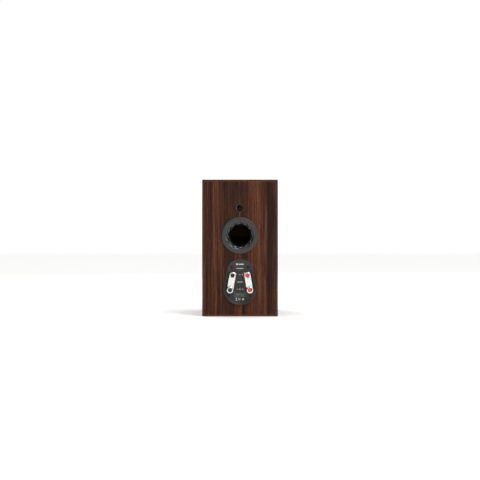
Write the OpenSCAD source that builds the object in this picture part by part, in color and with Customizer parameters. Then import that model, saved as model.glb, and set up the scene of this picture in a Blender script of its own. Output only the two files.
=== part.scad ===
// Two-way bookshelf loudspeaker with a rear reflex port and four bi-wire binding posts.
// The baffle faces -Y, the terminals face +Y, and the base rests on z = 0.
// Heights are set as drops below the top, so that a taller cabinet keeps its layout.

/* [Cabinet] */
// Width of the cabinet
cab_w = 165; // [160:1:220]
// Height of the cabinet
cab_h = 298; // [290:1:400]
// Depth of the cabinet
cab_d = 264; // [245:1:340]
// Thickness of the side, top and bottom panels
wall_t = 15; // [12:0.5:18]
// Thickness of the front baffle
baffle_t = 18; // [16:0.5:22]
// Thickness of the rear panel
rear_t = 15; // [14.5:0.5:18]
// Edge of the wrap that shows round the baffle and the rear panel
lip = 3; // [2:0.5:5]
// Radius of the four long outer edges
edge_r = 1.5; // [0.5:0.25:2.5]

/* [Brace and damping] */
// Thickness of the window brace
brace_t = 12; // [9:0.5:18]
// Width of the brace's outer bars
brace_bar = 16; // [10:1:20]
// From the tie bolt's axis down to the brace's window
brace_web = 14; // [10:1:20]
// Corner radius of the brace's window
brace_corner = 12; // [4:1:16]
// From the front face to the brace
brace_back = 94; // [90:1:104]
// Thickness of the damping pads
pad_t = 12; // [6:1:16]

/* [Woofer] */
// Centre of the woofer below the top
woofer_drop = 186; // [180:1:200]
// Outer radius of the trim ring
woofer_r = 73; // [60:0.5:75]
// Width of the trim ring
ring_w = 11.5; // [11:0.5:14]
// How far the trim ring stands in front of the baffle
ring_proud = 2.5; // [1.5:0.1:4]
// Width of the surround's half roll
roll_w = 9; // [6:0.5:11]
// Thickness of the surround's rubber
roll_t = 0.6; // [0.4:0.1:1]
// Depth of the cone
cone_depth = 22; // [16:1:26]
// Outer radius of the voice coil's former
coil_r = 15.4; // [12:0.1:18]
// Outer radius of the magnet
magnet_r = 45; // [36:1:48]
// Thickness of the magnet
magnet_t = 17; // [12:1:20]
// Thickness of the front plate and of the yoke's base
plate_t = 5; // [4:0.5:6]
// Travel of the cone each way
cone_travel = 5; // [2:0.5:6]

/* [Tweeter] */
// Centre of the tweeter below the top
tweeter_drop = 61.4; // [58:0.1:62]
// Outer radius of the faceplate
tweeter_r = 49; // [42:0.5:50]
// Radius of the dome
dome_r = 12.7; // [12:0.1:13]
// Depth of the waveguide
guide_depth = 9.5; // [6:0.5:10]
// Outer radius of the rear chamber
chamber_r = 35.5; // [30:0.5:36]
// Depth of the rear chamber
chamber_d = 38; // [24:1:44]

/* [Port] */
// Centre of the port below the top
port_drop = 121.7; // [118:0.1:126]
// Inner radius of the port's straight bore
port_r = 22; // [18:0.5:24]
// Outer radius of the flange
port_flange_r = 40; // [38:0.5:44]
// Wall of the port mouldings
port_wall = 3; // [2.4:0.1:3.6]
// How far the flange stands behind the rear panel
port_proud = 3; // [2:0.1:4]
// Depth of the flare below the rear face
flare_depth = 14; // [12:1:26]
// Length of the port from the rear face
port_length = 130; // [90:1:140]
// Number of scallops round the flare
scallops = 12; // [8:1:16]

/* [Terminal panel] */
// Top of the terminal panel below the cabinet's top
panel_drop = 173; // [171:1:180]
// Height of the panel
panel_h = 100.3; // [96:0.1:110]
// Width of the panel
panel_w = 72; // [68:0.5:80]
// Radius of the panel's upper corners
panel_corner_r = 22; // [20:0.5:24]
// Sideways place of those corners' centres
panel_corner_x = 5.65; // [4:0.05:8]
// Width of the raised rim
rim_w = 2.6; // [2:0.1:4]

/* [Binding posts] */
// Sideways place of the upper posts
hf_x = 16.1; // [15:0.1:18]
// Upper posts below the panel's top
hf_drop = 35.4; // [34:0.1:38]
// Sideways place of the lower posts
lf_x = 21.6; // [20:0.1:23]
// Lower posts below the panel's top
lf_drop = 66.7; // [65:0.1:68]
// Outer radius of the threaded stud
stud_r = 4; // [3.5:0.1:4.2]
// Radius of the socket for a 4 mm plug
socket_r = 2; // [1.9:0.05:2.1]
// Radius of the knob
knob_r = 7.1; // [6.4:0.1:7.5]
// Length of the knob
knob_l = 15; // [12:0.5:18]
// Radius of the coloured cap
cap_r = 3.65; // [3:0.05:3.75]
// Width of the jumper link
link_w = 13.5; // [11:0.5:14]
// Thickness of the jumper link
link_t = 1.5; // [1:0.1:2]

/* [Tie bolt] */
// Radius of the bolt's shank
bolt_r = 4; // [3:0.5:4]
// Radius of the bolt's head
bolt_head_r = 6.8; // [6:0.1:7]
// Radius of the washer under the head
washer_r = 8.5; // [7.5:0.1:9]
// Depth of the counterbore
counterbore = 7; // [5:0.5:8]

/* [Crossover] */
// Width of the board
board_w = 100; // [90:1:110]
// Depth of the board
board_d = 80; // [70:1:90]
// Height of the standoffs
standoff_h = 6; // [4:0.5:10]

/* [Hidden] */
$fn = 96;
fit = 0.05;                 // a close turning or sliding fit
thread_gap = 0.4;           // a stud in its knob, whose threads aren't cut
slip = 0.3;                 // a moulding in its hole
front_y = -cab_d / 2;
rear_y = cab_d / 2;
in_w = cab_w - 2 * wall_t;
in_h = cab_h - 2 * wall_t;

POSTS = [                   // name, side (+1 black, -1 red), sideways place, place below the panel's top
    ["hf_neg", 1, hf_x, hf_drop],
    ["hf_pos", -1, hf_x, hf_drop],
    ["lf_neg", 1, lf_x, lf_drop],
    ["lf_pos", -1, lf_x, lf_drop],
];

// ---- Woofer levels, measured backwards from the baffle's face
flange_t = 3.5;
gasket_t = 0.8;
seat_u = 0.7;                           // front of the flange, below the baffle's face
seat_back = seat_u + flange_t;          // back of the flange
rebate_u = seat_back + gasket_t;        // floor of the rebate
ring_in = woofer_r - ring_w;
cone_r = ring_in - roll_w;              // outer edge of the cone
glue_w = 3;                             // glued edge between cone and surround
cone_u = seat_u + roll_t;               // front of the cone's edge
cone_t = 1;
neck_u = cone_u + cone_depth;
lip_r = ring_in + 4.5;                  // outer edge of the surround
basket_wall = 2.5;
spider_u = neck_u + 8;
spider_t = 0.5;
spider_r = magnet_r + 3;
base_u = spider_u + spider_t + 17.5;    // back of the basket, where the front plate sits
gap = 0.55;                             // between the winding and the steel
winding_t = 0.55;
winding_h = 12;
basket_hole_r = ring_in + 2;
screw_circle = ring_in + 7.5;

// ---- Tweeter levels
face_proud = 1.5;
face_back = 3;
pad_gap = 1;                            // gasket behind the faceplate
throat_r = dome_r + 4.5;
throat_u = guide_depth - face_proud;
mesh_t = 0.5;
motor_u = throat_u + 3.3;               // face that the motor is fixed to
surround_t = 0.3;
chamber_back = motor_u + chamber_d;
boss_l = 12;
tie_tip_u = chamber_back + 2;
guide_r = tweeter_r - 8;                // mouth of the waveguide

// ---- Terminal levels, measured outwards from the rear face
floor_z = 2.6;
rim_z = 3.6;
seal_t = 0.8;
plate_back = -0.4;
collar_top = 6.2;
flange_top = 7;
link_top = flange_top + link_t;
ring_z = link_top + 0.2;
ring_t = 1.2;
knob_z = ring_z + ring_t + 0.1;
knob_end = knob_z + knob_l;
stud_end = knob_end - 1;
lead_in = 8;                            // wider mouth of the socket, which takes the cap's stub
mouth_r = socket_r + 0.3;
socket_floor = 4;
cap_head = 1.6;
panel_seat = 5;                         // overlap of the panel on the rear panel
ear_r = 5;                              // wood left round each panel screw
SCREWS = [[17.4, 17], [23.7, 79.6]];    // sideways place and drop below the panel's top
screw_r = 1.5;

// ---- Points and outlines
function arc(c, r, a0, a1, n) = [for (i = [0:n]) let (a = a0 + (a1 - a0) * i / n)
    [c[0] + r * cos(a), c[1] + r * sin(a)]];
function reversed(pts) = [for (i = [len(pts) - 1:-1:0]) pts[i]];
function mirrored(pts) = [for (i = [len(pts) - 1:-1:0]) [-pts[i][0], pts[i][1]]];
function rounded(w, h, r) = concat(
    arc([w / 2 - r, h / 2 - r], r, 0, 90, 6), arc([r - w / 2, h / 2 - r], r, 90, 180, 6),
    arc([r - w / 2, r - h / 2], r, 180, 270, 6), arc([w / 2 - r, r - h / 2], r, 270, 360, 6));

// Egg-shaped outline of the terminal panel, inset by a constant distance, its top at [0, 0].
// It is made of a flat top arc, two corner arcs and the large lower circle, all tangent.
low_r = panel_w / 2;
low_y = low_r - panel_h;
corner_y = -panel_corner_r - 0.91;
top_r = (pow(panel_corner_r, 2) - pow(panel_corner_x, 2) - pow(corner_y, 2))
    / (2 * (panel_corner_r + corner_y));
top_turn = atan2(corner_y + top_r, panel_corner_x);
side = [-panel_corner_x, low_y - corner_y];
side_turn = atan2(side[1], side[0]) + acos((panel_corner_r - low_r) / norm(side));
function egg_half(inset) = concat(
    arc([0, -top_r], top_r - inset, 90, top_turn, 6),
    arc([panel_corner_x, corner_y], panel_corner_r - inset, top_turn - 3, side_turn, 12),
    arc([0, low_y], low_r - inset, side_turn - 4, -90, 16));
function without_ends(pts) = [for (i = [1:len(pts) - 2]) pts[i]];
function egg(inset) = concat(egg_half(inset), mirrored(without_ends(egg_half(inset))));

// A drop below the cabinet's top as a height
function height_of(drop) = cab_h - drop;
panel_top = height_of(panel_drop);

// ---- Placing
// Local z runs backwards from the baffle's face, at a drop below the top
module front_at(drop) translate([0, front_y, height_of(drop)]) rotate([-90, 0, 0]) children();
// Local z runs outwards from the rear face
module rear_at(x, drop) translate([x, rear_y, height_of(drop)]) rotate([-90, 0, 0]) children();
module post_at(p) rear_at(p[1] * p[2], panel_drop + p[3]) children();
module panel_screws_at() for (s = SCREWS, side = [-1, 1])
    rear_at(side * s[0], panel_drop + s[1]) children();
// A flat outline in x and z, given thickness along y from y0
module slab(y0, t) translate([0, y0 + t, 0]) rotate([90, 0, 0]) linear_extrude(t) children();
module egg_slab(inset, z0, z1) translate([0, 0, panel_top]) slab(rear_y + z0, z1 - z0) polygon(egg(inset));
module tube(r_out, r_in, z0, z1) translate([0, 0, z0]) difference() {
    cylinder(r = r_out, h = z1 - z0);
    translate([0, 0, -1]) cylinder(r = r_in, h = z1 - z0 + 2);
}

// ---- Cabinet
// The baffle and the rear panel sit in rebates, so only the lip shows round them
module wrap(outline) color("saddlebrown") difference() {
    slab(front_y, cab_d) polygon(outline);
    inset_board(front_y - 1, baffle_t + 1);
    inset_board(rear_y - rear_t, rear_t + 1);
}
module inset_board(y0, t) translate([lip - cab_w / 2, y0, lip]) cube([cab_w - 2 * lip, t, cab_h - 2 * lip]);

// Half of a mitred end: the rounded corner between two boards, from one angle to another
function corner(sx, top, a0, a1) = arc(
    [sx * (cab_w / 2 - edge_r), top ? cab_h - edge_r : edge_r], edge_r, a0, a1, 4);
function inner(sx, top) = [sx * in_w / 2, top ? cab_h - wall_t : wall_t];

module left_side() wrap(concat(
    corner(-1, false, 225, 180), corner(-1, true, 180, 135), [inner(-1, true), inner(-1, false)]));
module right_side() wrap(concat(
    corner(1, true, 45, 0), corner(1, false, 0, -45), [inner(1, false), inner(1, true)]));
module top_board() wrap(concat(
    corner(-1, true, 135, 90), corner(1, true, 90, 45), [inner(1, true), inner(-1, true)]));
module bottom_board() wrap(concat(
    corner(1, false, -45, -90), corner(-1, false, -90, -135), [inner(-1, false), inner(1, false)]));

module front_baffle() color("saddlebrown") difference() {
    inset_board(front_y, baffle_t);
    front_at(tweeter_drop) {
        translate([0, 0, -1]) cylinder(r = tweeter_r + slip, h = 1 + face_back + pad_gap);
        translate([0, 0, -1]) cylinder(r = chamber_r + 1, h = baffle_t + 2);
    }
    front_at(woofer_drop) {
        translate([0, 0, -1]) cylinder(r = woofer_r + slip, h = 1 + rebate_u);
        translate([0, 0, -1]) cylinder(r = basket_hole_r, h = baffle_t + 2);
        ring_of_six(screw_circle) cylinder(r = screw_r + fit, h = baffle_t - 1, $fn = 24);
    }
}

module rear_panel() color("saddlebrown") difference() {
    inset_board(rear_y - rear_t, rear_t);
    rear_at(0, port_drop) translate([0, 0, -rear_t - 1]) cylinder(r = flare_mouth + slip, h = rear_t + 2);
    rear_at(0, tweeter_drop) {
        translate([0, 0, -rear_t - 1]) cylinder(r = bolt_r + 0.5, h = rear_t + 2);
        translate([0, 0, -counterbore]) cylinder(r = washer_r + slip, h = counterbore + 1);
    }
    difference() {
        egg_slab(panel_seat, -rear_t - 1, 1);
        panel_screws_at() translate([0, 0, -rear_t - 2]) cylinder(r = ear_r, h = rear_t + 4, $fn = 48);
    }
    panel_screws_at() translate([0, 0, 1.5 - rear_t]) cylinder(r = screw_r + fit, h = rear_t, $fn = 24);
}

module window_brace() color("burlywood") difference() {
    translate([-in_w / 2, front_y + brace_back, wall_t]) cube([in_w, brace_t, in_h]);
    translate([0, 0, (window_low + window_top) / 2])
        slab(front_y + brace_back - 1, brace_t + 2)
        polygon(rounded(in_w - 2 * brace_bar, window_top - window_low, brace_corner));
    front_at(tweeter_drop) translate([0, 0, brace_back - 1])
        cylinder(r = bolt_r + 1, h = brace_t + 2, $fn = 48);
}
window_low = wall_t + brace_bar;
window_top = height_of(tweeter_drop) - brace_web;

// Fibre pads on both sides and under the top, behind the brace
module damping_pads() color("lightgrey") {
    pad_front = front_y + brace_back + brace_t + 4;
    pad_l = rear_y - rear_t - 6 - pad_front;
    side_low = wall_t + 55;
    side_h = cab_h - wall_t - pad_t - 6 - side_low;
    for (sx = [-1, 1]) translate([sx * (in_w - pad_t) / 2, pad_front + pad_l / 2, side_low + side_h / 2])
        cube([pad_t, pad_l, side_h], center = true);
    translate([0, pad_front + pad_l / 2, cab_h - wall_t - pad_t / 2])
        cube([in_w - 20, pad_l, pad_t], center = true);
}

// ---- Port
// The flare is a quarter ellipse from the flange's face down to the straight bore
flare_w = 11;
function flare(t, w, h) = [port_r + flare_w - w * sin(t), h * cos(t) - flare_depth];
function flare_points(w, h, n) = [for (i = [0:n]) flare(90 * i / n, w, h)];
spigot_z = -flare_depth - 18;
flare_mouth = port_r + flare_w;
scallop_r = 2.5;
scallop_cut = 1.3;
scallop_swirl = 22;

module port_flange() color("dimgrey") rear_at(0, port_drop) difference() {
    rotate_extrude() polygon(concat(
        flare_points(flare_w, flare_depth + port_proud, 16),
        [[port_r, spigot_z], [port_r + port_wall, spigot_z]],
        [for (i = [16:-1:0]) flare(90 * i / 16, flare_w - port_wall, flare_depth)],
        [[port_flange_r, 0], [port_flange_r, port_proud - 2]],
        arc([port_flange_r - 2, port_proud - 2], 2, 15, 90, 5)));
    for (i = [0:scallops - 1]) rotate([0, 0, i * 360 / scallops]) scallop();
}
// One scallop: a cylinder laid along the flare and turned a little about its own radius
module scallop() {
    a = 40;
    mid = flare(a, flare_w, flare_depth + port_proud);
    high = flare(20, flare_w, flare_depth + port_proud);
    low = flare(60, flare_w, flare_depth + port_proud);
    lean = atan2(high[0] - low[0], high[1] - low[1]);
    out = scallop_r - scallop_cut;
    translate([mid[0] - out * cos(lean), 0, mid[1] + out * sin(lean)])
        rotate([0, lean, 0]) rotate([scallop_swirl, 0, 0])
        cylinder(r = scallop_r, h = 15, center = true, $fn = 32);
}

// The tube plugs onto the flange's spigot and ends inside the cabinet in a rolled bell
bell_r = 10;
module port_tube() color("dimgrey") rear_at(0, port_drop) {
    joint_r = port_r + port_wall + 0.1;
    joint_wall = 2.4;
    bell = [port_r + bell_r, bell_r - port_length];
    rotate_extrude() polygon(concat(
        [[joint_r, spigot_z + 12], [joint_r, spigot_z - 0.2], [port_r, spigot_z - 0.2]],
        arc(bell, bell_r, 180, 262, 8), arc(bell, bell_r - port_wall + 0.4, 262, 180, 8),
        [[port_r + port_wall - 0.4, spigot_z - 4], [joint_r + joint_wall, spigot_z - 2],
         [joint_r + joint_wall, spigot_z + 12]]));
}

// ---- Tie bolt, which pulls the tweeter's rear chamber towards the rear panel
bolt_seat = -counterbore + 1.6;
module tie_bolt() color("black") rear_at(0, tweeter_drop) difference() {
    union() {
        rotate_extrude() polygon(concat(
            [[0, bolt_seat], [bolt_head_r, bolt_seat], [bolt_head_r, bolt_seat + 0.8]],
            [for (i = [1:7]) [bolt_head_r * cos(i * 90 / 8), bolt_seat + 0.8 + 3.2 * sin(i * 90 / 8)]],
            [[0, bolt_seat + 4]]));
        translate([0, 0, tie_length]) cylinder(r = bolt_r, h = bolt_seat - tie_length + 0.1);
    }
    translate([0, 0, bolt_seat + 1.4]) cylinder(r = 2.9, h = 5, $fn = 6);
}
tie_length = front_y + tie_tip_u - rear_y;      // tip of the bolt, from the rear face
module tie_bolt_washer() color("silver") rear_at(0, tweeter_drop)
    tube(washer_r, bolt_r + 0.3, -counterbore, bolt_seat);

// ---- Terminal panel
module terminal_panel() color("dimgrey") difference() {
    union() {
        egg_slab(0, seal_t, rim_z - 0.8);
        egg_slab(0.35, rim_z - 0.8, rim_z - 0.3);
        egg_slab(0.9, rim_z - 0.3, rim_z);
        difference() {
            egg_slab(panel_seat + slip, -3, seal_t);
            panel_screws_at() translate([0, 0, -4]) cylinder(r = ear_r + slip, h = 4 + seal_t, $fn = 48);
        }
    }
    egg_slab(rim_w, floor_z, rim_z + 1);
    difference() {
        egg_slab(panel_seat + 2.5, -4, plate_back);
        panel_screws_at() translate([0, 0, -5]) cylinder(r = ear_r + 2, h = 6, $fn = 48);
    }
    for (p = POSTS) post_at(p) translate([0, 0, -5]) cylinder(r = stud_r + 0.1, h = 12);
    panel_screws_at() {
        translate([0, 0, -1]) cylinder(r = screw_r + 0.2, h = 6, $fn = 24);
        translate([0, 0, floor_z - 1.2]) cylinder(r = 3.5, h = 5, $fn = 48);
    }
}

module terminal_screws() color("black") panel_screws_at()
    cross_screw(3.2, 1.7, floor_z - 1.2, 1.6 - rear_t);
// A pan-head screw with a cross recess, its head seated at z, its tip at tip_z
module cross_screw(head_r, head_h, z, tip_z) difference() {
    union() {
        rotate_extrude($fn = 48) polygon(concat(
            [[0, z], [head_r, z], [head_r, z + head_h * 0.4]],
            [for (i = [1:5]) [head_r * cos(i * 15), z + head_h * (0.4 + 0.6 * sin(i * 15))]],
            [[0, z + head_h]]));
        translate([0, 0, tip_z]) cylinder(r = screw_r, h = z - tip_z + 0.1, $fn = 24);
    }
    for (a = [0, 90]) rotate([0, 0, a]) translate([-head_r * 0.55, -0.4, z + head_h * 0.45])
        cube([head_r * 1.1, 0.8, 3]);
}

module post_studs() color("silver") for (p = POSTS) post_at(p) difference() {
    translate([0, 0, -12]) cylinder(r = stud_r, h = stud_end + 12);
    translate([0, 0, socket_floor]) cylinder(r = socket_r, h = stud_end);
    translate([0, 0, stud_end - lead_in]) cylinder(r = mouth_r, h = lead_in + 1);
}
// The washer that a link lies on
module post_washers() color("silver") for (p = POSTS) post_at(p)
    tube(knob_r - 0.9, stud_r + 0.1, collar_top, flange_top);
module post_collars() color("black") for (p = POSTS) post_at(p)
    tube(knob_r - 0.5, stud_r + 0.1, floor_z, collar_top);
module post_nuts() color("silver") for (p = POSTS) post_at(p) difference() {
    translate([0, 0, tag_back - 5]) cylinder(r = stud_r + 2.35, h = 5, $fn = 6);
    translate([0, 0, tag_back - 6]) cylinder(r = stud_r + fit, h = 7);
}
tag_t = 0.8;
tag_back = plate_back - tag_t;
lug_reach = 12;
// Each tag's lug points to the middle of the panel
module solder_tags() color("gold") for (p = POSTS) post_at(p) difference() {
    union() {
        translate([0, 0, tag_back]) cylinder(r = stud_r + 1.8, h = tag_t);
        translate([p[1] > 0 ? -lug_reach : 0, -2.2, tag_back]) cube([lug_reach, 4.4, tag_t]);
    }
    translate([0, 0, tag_back - 1]) cylinder(r = stud_r + 0.1, h = 3);
}

// ---- What turns and slides on the posts
module knob(p) color("silver") post_at(p) difference() {
    bore = stud_r + thread_gap;
    rotate_extrude() polygon([
        [bore, knob_z], [knob_r - 0.4, knob_z], [knob_r, knob_z + 0.4], [knob_r, knob_end - 0.8],
        [knob_r - 0.8, knob_end], [bore, knob_end]]);
    for (i = [0:17]) rotate([0, 0, i * 20]) translate([knob_r + 0.35, 0, knob_z + 2.5])
        cylinder(r = 0.75, h = knob_l - 5, $fn = 16);
}
module clamp_ring(p) color("silver") post_at(p) tube(knob_r - 0.5, stud_r + fit, ring_z, ring_z + ring_t);
module plug_cap(p) color(p[1] > 0 ? "black" : "red") post_at(p) difference() {
    union() {
        translate([0, 0, stud_end]) cylinder(r = cap_r, h = cap_head);
        translate([0, 0, stud_end - 7]) cylinder(r = mouth_r - 0.05, h = 7.1, $fn = 48);
    }
    translate([0, 0, stud_end + cap_head + 3.2]) sphere(r = 3.9);
}

// A stamped link, hung on its upper post; the flared slot lets the lower post out sideways.
// Its upper end has one square corner, on the side towards the middle of the panel.
link_l = norm([lf_x - hf_x, lf_drop - hf_drop]);
link_lean = atan2(lf_x - hf_x, lf_drop - hf_drop);
link_hw = link_w / 2;
link_corner = 0.9;
function link_end(side) = side > 0
    ? concat(arc([link_corner - link_hw, link_corner - link_hw], link_corner, 180, 270, 4),
        arc([0, 0], link_hw, 270, 360, 12))
    : concat(arc([0, 0], link_hw, 180, 270, 12),
        arc([link_hw - link_corner, link_corner - link_hw], link_corner, 270, 360, 4));
module jumper_link(p) color("silver") post_at(p) rotate([0, 0, -p[1] * link_lean])
    translate([0, 0, flange_top]) difference() {
        slot = stud_r + 0.3;
        linear_extrude(link_t) polygon(concat(link_end(p[1]), arc([0, link_l], link_hw, 0, 180, 24)));
        translate([0, 0, -1]) cylinder(r = stud_r + 0.08, h = link_t + 2);
        translate([0, link_l, -1]) {
            cylinder(r = slot, h = link_t + 2);
            // the slot's mouth, on the +X side
            linear_extrude(link_t + 2) polygon([[0, slot], [link_hw + 1, slot],
                [link_hw + 1, -slot - 2.2], [link_hw - 2.2, -slot - 1], [2.4, -slot - 0.2], [0, -slot]]);
        }
    }

// ---- Tweeter
function guide(s) = [guide_r - (guide_r - throat_r) * s, guide_depth * pow(s, 1.8) - face_proud];
module tweeter_faceplate() color("black") front_at(tweeter_drop) rotate_extrude() polygon(concat(
    [[tweeter_r, face_back]],
    arc([tweeter_r - 1.2, 1.2 - face_proud], 1.2, 0, -90, 5),
    [for (i = [0:14]) guide(i / 14)],
    [[throat_r, throat_u + 0.6], [throat_r - 2.3, throat_u + 0.6], [throat_r - 2.3, motor_u - surround_t],
     [throat_r - 0.7, motor_u - surround_t], [throat_r - 0.7, motor_u], [chamber_r, motor_u],
     [chamber_r, face_back]]));
// An arc from the crown of a dome to its base, and the half section of a shell with a flat foot
function cap_radius(base, rise) = (base * base + rise * rise) / (2 * rise);
function dome_arc(base, rise, z) = let (r = cap_radius(base, rise), a = asin(base / r))
    [for (i = [0:10]) [r * sin(a * i / 10), z - rise + r - r * cos(a * i / 10)]];
function shell(base, rise, t, z) =
    concat(dome_arc(base, rise, z), reversed(dome_arc(base - 1.3 * t, rise - t, z)));
mesh_r = throat_r - 1.4;
module tweeter_mesh() color("black") front_at(tweeter_drop) rotate_extrude() polygon(concat(
    dome_arc(mesh_r, 5.6, throat_u),
    [[throat_r - 0.05, throat_u], [throat_r - 0.05, throat_u + 0.55], [mesh_r - 0.7, throat_u + 0.55]],
    reversed(dome_arc(mesh_r - 0.7, 5.6 - mesh_t, throat_u))));
module tweeter_dome() color("silver") front_at(tweeter_drop)
    rotate_extrude() polygon(shell(dome_r, 4.4, 0.25, motor_u));
module tweeter_surround() color("black") front_at(tweeter_drop) {
    z = motor_u - surround_t;
    mid = dome_r + 1.05;
    rotate_extrude() polygon(concat(
        [[dome_r + 0.05, motor_u], [dome_r + 0.05, z]],
        arc([mid, z], 0.95, 180, 360, 8),
        [[throat_r - 0.8, z], [throat_r - 0.8, motor_u], [mid + 0.65, motor_u]],
        arc([mid, z], 0.65, 360, 180, 8), [[mid - 0.65, motor_u]]));
}
module tweeter_voice_coil() color("orange") front_at(tweeter_drop) rotate_extrude() polygon([
    [dome_r - 0.3, motor_u], [dome_r - 0.15, motor_u], [dome_r - 0.15, motor_u + 2.7],
    [dome_r + 0.3, motor_u + 2.7], [dome_r + 0.3, motor_u + 6.2], [dome_r - 0.3, motor_u + 6.2]]);
module tweeter_pole_plate() color("silver") front_at(tweeter_drop)
    translate([0, 0, motor_u + 2.7]) cylinder(r = dome_r - 0.6, h = 3.5);
module tweeter_magnet() color("grey") front_at(tweeter_drop)
    translate([0, 0, motor_u + 6.2]) cylinder(r = dome_r - 1.2, h = 6.5);
module tweeter_cup() color("grey") front_at(tweeter_drop) difference() {
    translate([0, 0, motor_u]) cylinder(r = dome_r + 9.3, h = 15.7);
    translate([0, 0, motor_u - 1]) cylinder(r = dome_r + 0.7, h = 13.7);
}
module tweeter_rear_chamber() color("black") front_at(tweeter_drop) difference() {
    union() {
        translate([0, 0, motor_u]) cylinder(r = chamber_r, h = chamber_d);
        translate([0, 0, chamber_back - 1]) cylinder(r = bolt_r + 5, h = boss_l + 1);
    }
    translate([0, 0, motor_u - 1]) cylinder(r = chamber_r - 2.5, h = chamber_d - 2);
    translate([0, 0, tie_tip_u - 0.5]) cylinder(r = bolt_r + fit, h = boss_l);
}

// ---- Woofer
module ring_of_six(r) for (i = [0:5]) rotate([0, 0, 60 * i]) translate([r, 0, 0]) children();
module woofer_trim_ring() color("black") front_at(woofer_drop) rotate_extrude() polygon(concat(
    [[ring_in + 0.3, seat_u]],
    arc([ring_in + 1.8, 1.5 - ring_proud], 1.5, 180, 255, 5),
    arc([woofer_r - 2.2, 2.2 - ring_proud], 2.2, 285, 360, 6),
    [[woofer_r, seat_u]]));
module woofer_basket() color("dimgrey") front_at(woofer_drop) difference() {
    top_in = ring_in - 0.5;
    top_out = basket_hole_r - 0.5;
    ledge = spider_u + spider_t;
    rotate_extrude() polygon([
        [top_in, cone_u], [lip_r + slip, cone_u], [lip_r + slip, seat_u], [woofer_r - 0.3, seat_u],
        [woofer_r - 0.3, seat_back], [top_out, seat_back], [spider_r + 3.6, ledge],
        [spider_r + 3.6, ledge + basket_wall], [spider_r - 1.5, ledge + basket_wall],
        [magnet_r - 0.5, base_u], [coil_r + 2.1, base_u], [coil_r + 2.1, base_u - 3.5],
        [magnet_r - 3.5, base_u - 3.5], [spider_r - 4.5, ledge], [spider_r + 1, ledge],
        [top_in - 0.5, cone_u + 4]]);
    for (i = [0:5]) rotate([0, 0, 60 * i + 30]) {
        translate([magnet_r, -19, baffle_t - 9]) cube([40, 38, ledge - baffle_t + 6]);
        translate([magnet_r - 12, -13, ledge + basket_wall + 2]) cube([30, 26, 8]);
    }
    ring_of_six(screw_circle) {
        translate([0, 0, -1]) cylinder(r = screw_r + 0.2, h = 20, $fn = 24);
        translate([0, 0, -1]) cylinder(r = 3.2, h = 1 + seat_u + 2, $fn = 48);
    }
}
module woofer_screws() color("black") front_at(woofer_drop) ring_of_six(screw_circle)
    mirror([0, 0, 1]) cross_screw(3, 1.7, -seat_u - 2, 2 - baffle_t);

// Front surface of the cone: its level at a share s of the way from the edge to the neck
function cone_at(s) = [cone_r - glue_w - (cone_r - glue_w - coil_r - 0.05) * s,
    cone_u + cone_depth * (1 - pow(1 - s, 1.35))];
cap_share = 0.86;
module woofer_cone() color("silver") front_at(woofer_drop) rotate_extrude() polygon(concat(
    [[cone_r - 0.2, cone_u]],
    [for (i = [0:16]) cone_at(i / 16)],
    [for (i = [16:-1:0]) cone_at(i / 16) + [0, cone_t]],
    [[cone_r - 0.2, cone_u + cone_t]]));
module woofer_dust_cap() color("silver") front_at(woofer_drop)
    rotate_extrude() polygon(shell(cone_at(cap_share)[0], 6.5, 0.5, cone_at(cap_share)[1] - 0.02));
module woofer_surround() color("black") front_at(woofer_drop) {
    mid = ring_in - roll_w / 2;
    rotate_extrude() polygon(concat(
        [[cone_r - glue_w, cone_u], [cone_r - glue_w, seat_u]],
        arc([mid, seat_u], roll_w / 2, 180, 360, 18),
        [[lip_r, seat_u], [lip_r, cone_u], [mid + roll_w / 2 - roll_t, cone_u]],
        arc([mid, seat_u], roll_w / 2 - roll_t, 360, 180, 18),
        [[mid - roll_w / 2 + roll_t, cone_u]]));
}
// The spider is corrugated, with flat glued edges
spider_waves = 4;
spider_in = coil_r + 4;
spider_out = spider_r - 6;
function spider_line(z) = [for (i = [0:40])
    [spider_in + (spider_out - spider_in) * i / 40, z - 1.3 * sin(9 * spider_waves * i)]];
module woofer_spider() color("goldenrod") front_at(woofer_drop) rotate_extrude() polygon(concat(
    [[coil_r + 0.05, spider_u]], spider_line(spider_u),
    [[spider_r, spider_u], [spider_r, spider_u + spider_t]],
    reversed(spider_line(spider_u + spider_t)), [[coil_r + 0.05, spider_u + spider_t]]));
coil_mid = base_u + plate_t / 2;
module woofer_voice_coil() color("orange") front_at(woofer_drop) rotate_extrude() polygon([
    [coil_r - 0.3, neck_u - 1.5], [coil_r, neck_u - 1.5], [coil_r, coil_mid - winding_h / 2],
    [coil_r + winding_t, coil_mid - winding_h / 2], [coil_r + winding_t, coil_mid + winding_h / 2],
    [coil_r - 0.3, coil_mid + winding_h / 2]]);
module woofer_front_plate() color("grey") front_at(woofer_drop)
    tube(magnet_r - 2, coil_r + winding_t + gap, base_u, base_u + plate_t);
module woofer_magnet() color("darkgrey") front_at(woofer_drop)
    tube(magnet_r, coil_r + 7, base_u + plate_t, base_u + plate_t + magnet_t);
module woofer_yoke() color("grey") front_at(woofer_drop) difference() {
    back = base_u + plate_t + magnet_t;
    union() {
        translate([0, 0, back]) cylinder(r = magnet_r - 3, h = plate_t);
        translate([0, 0, base_u - 1]) cylinder(r = coil_r - 0.3 - gap, h = back - base_u + 2);
    }
    translate([0, 0, base_u - 2]) cylinder(r = 4, h = plate_t + magnet_t + plate_t + 4);
}

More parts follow.
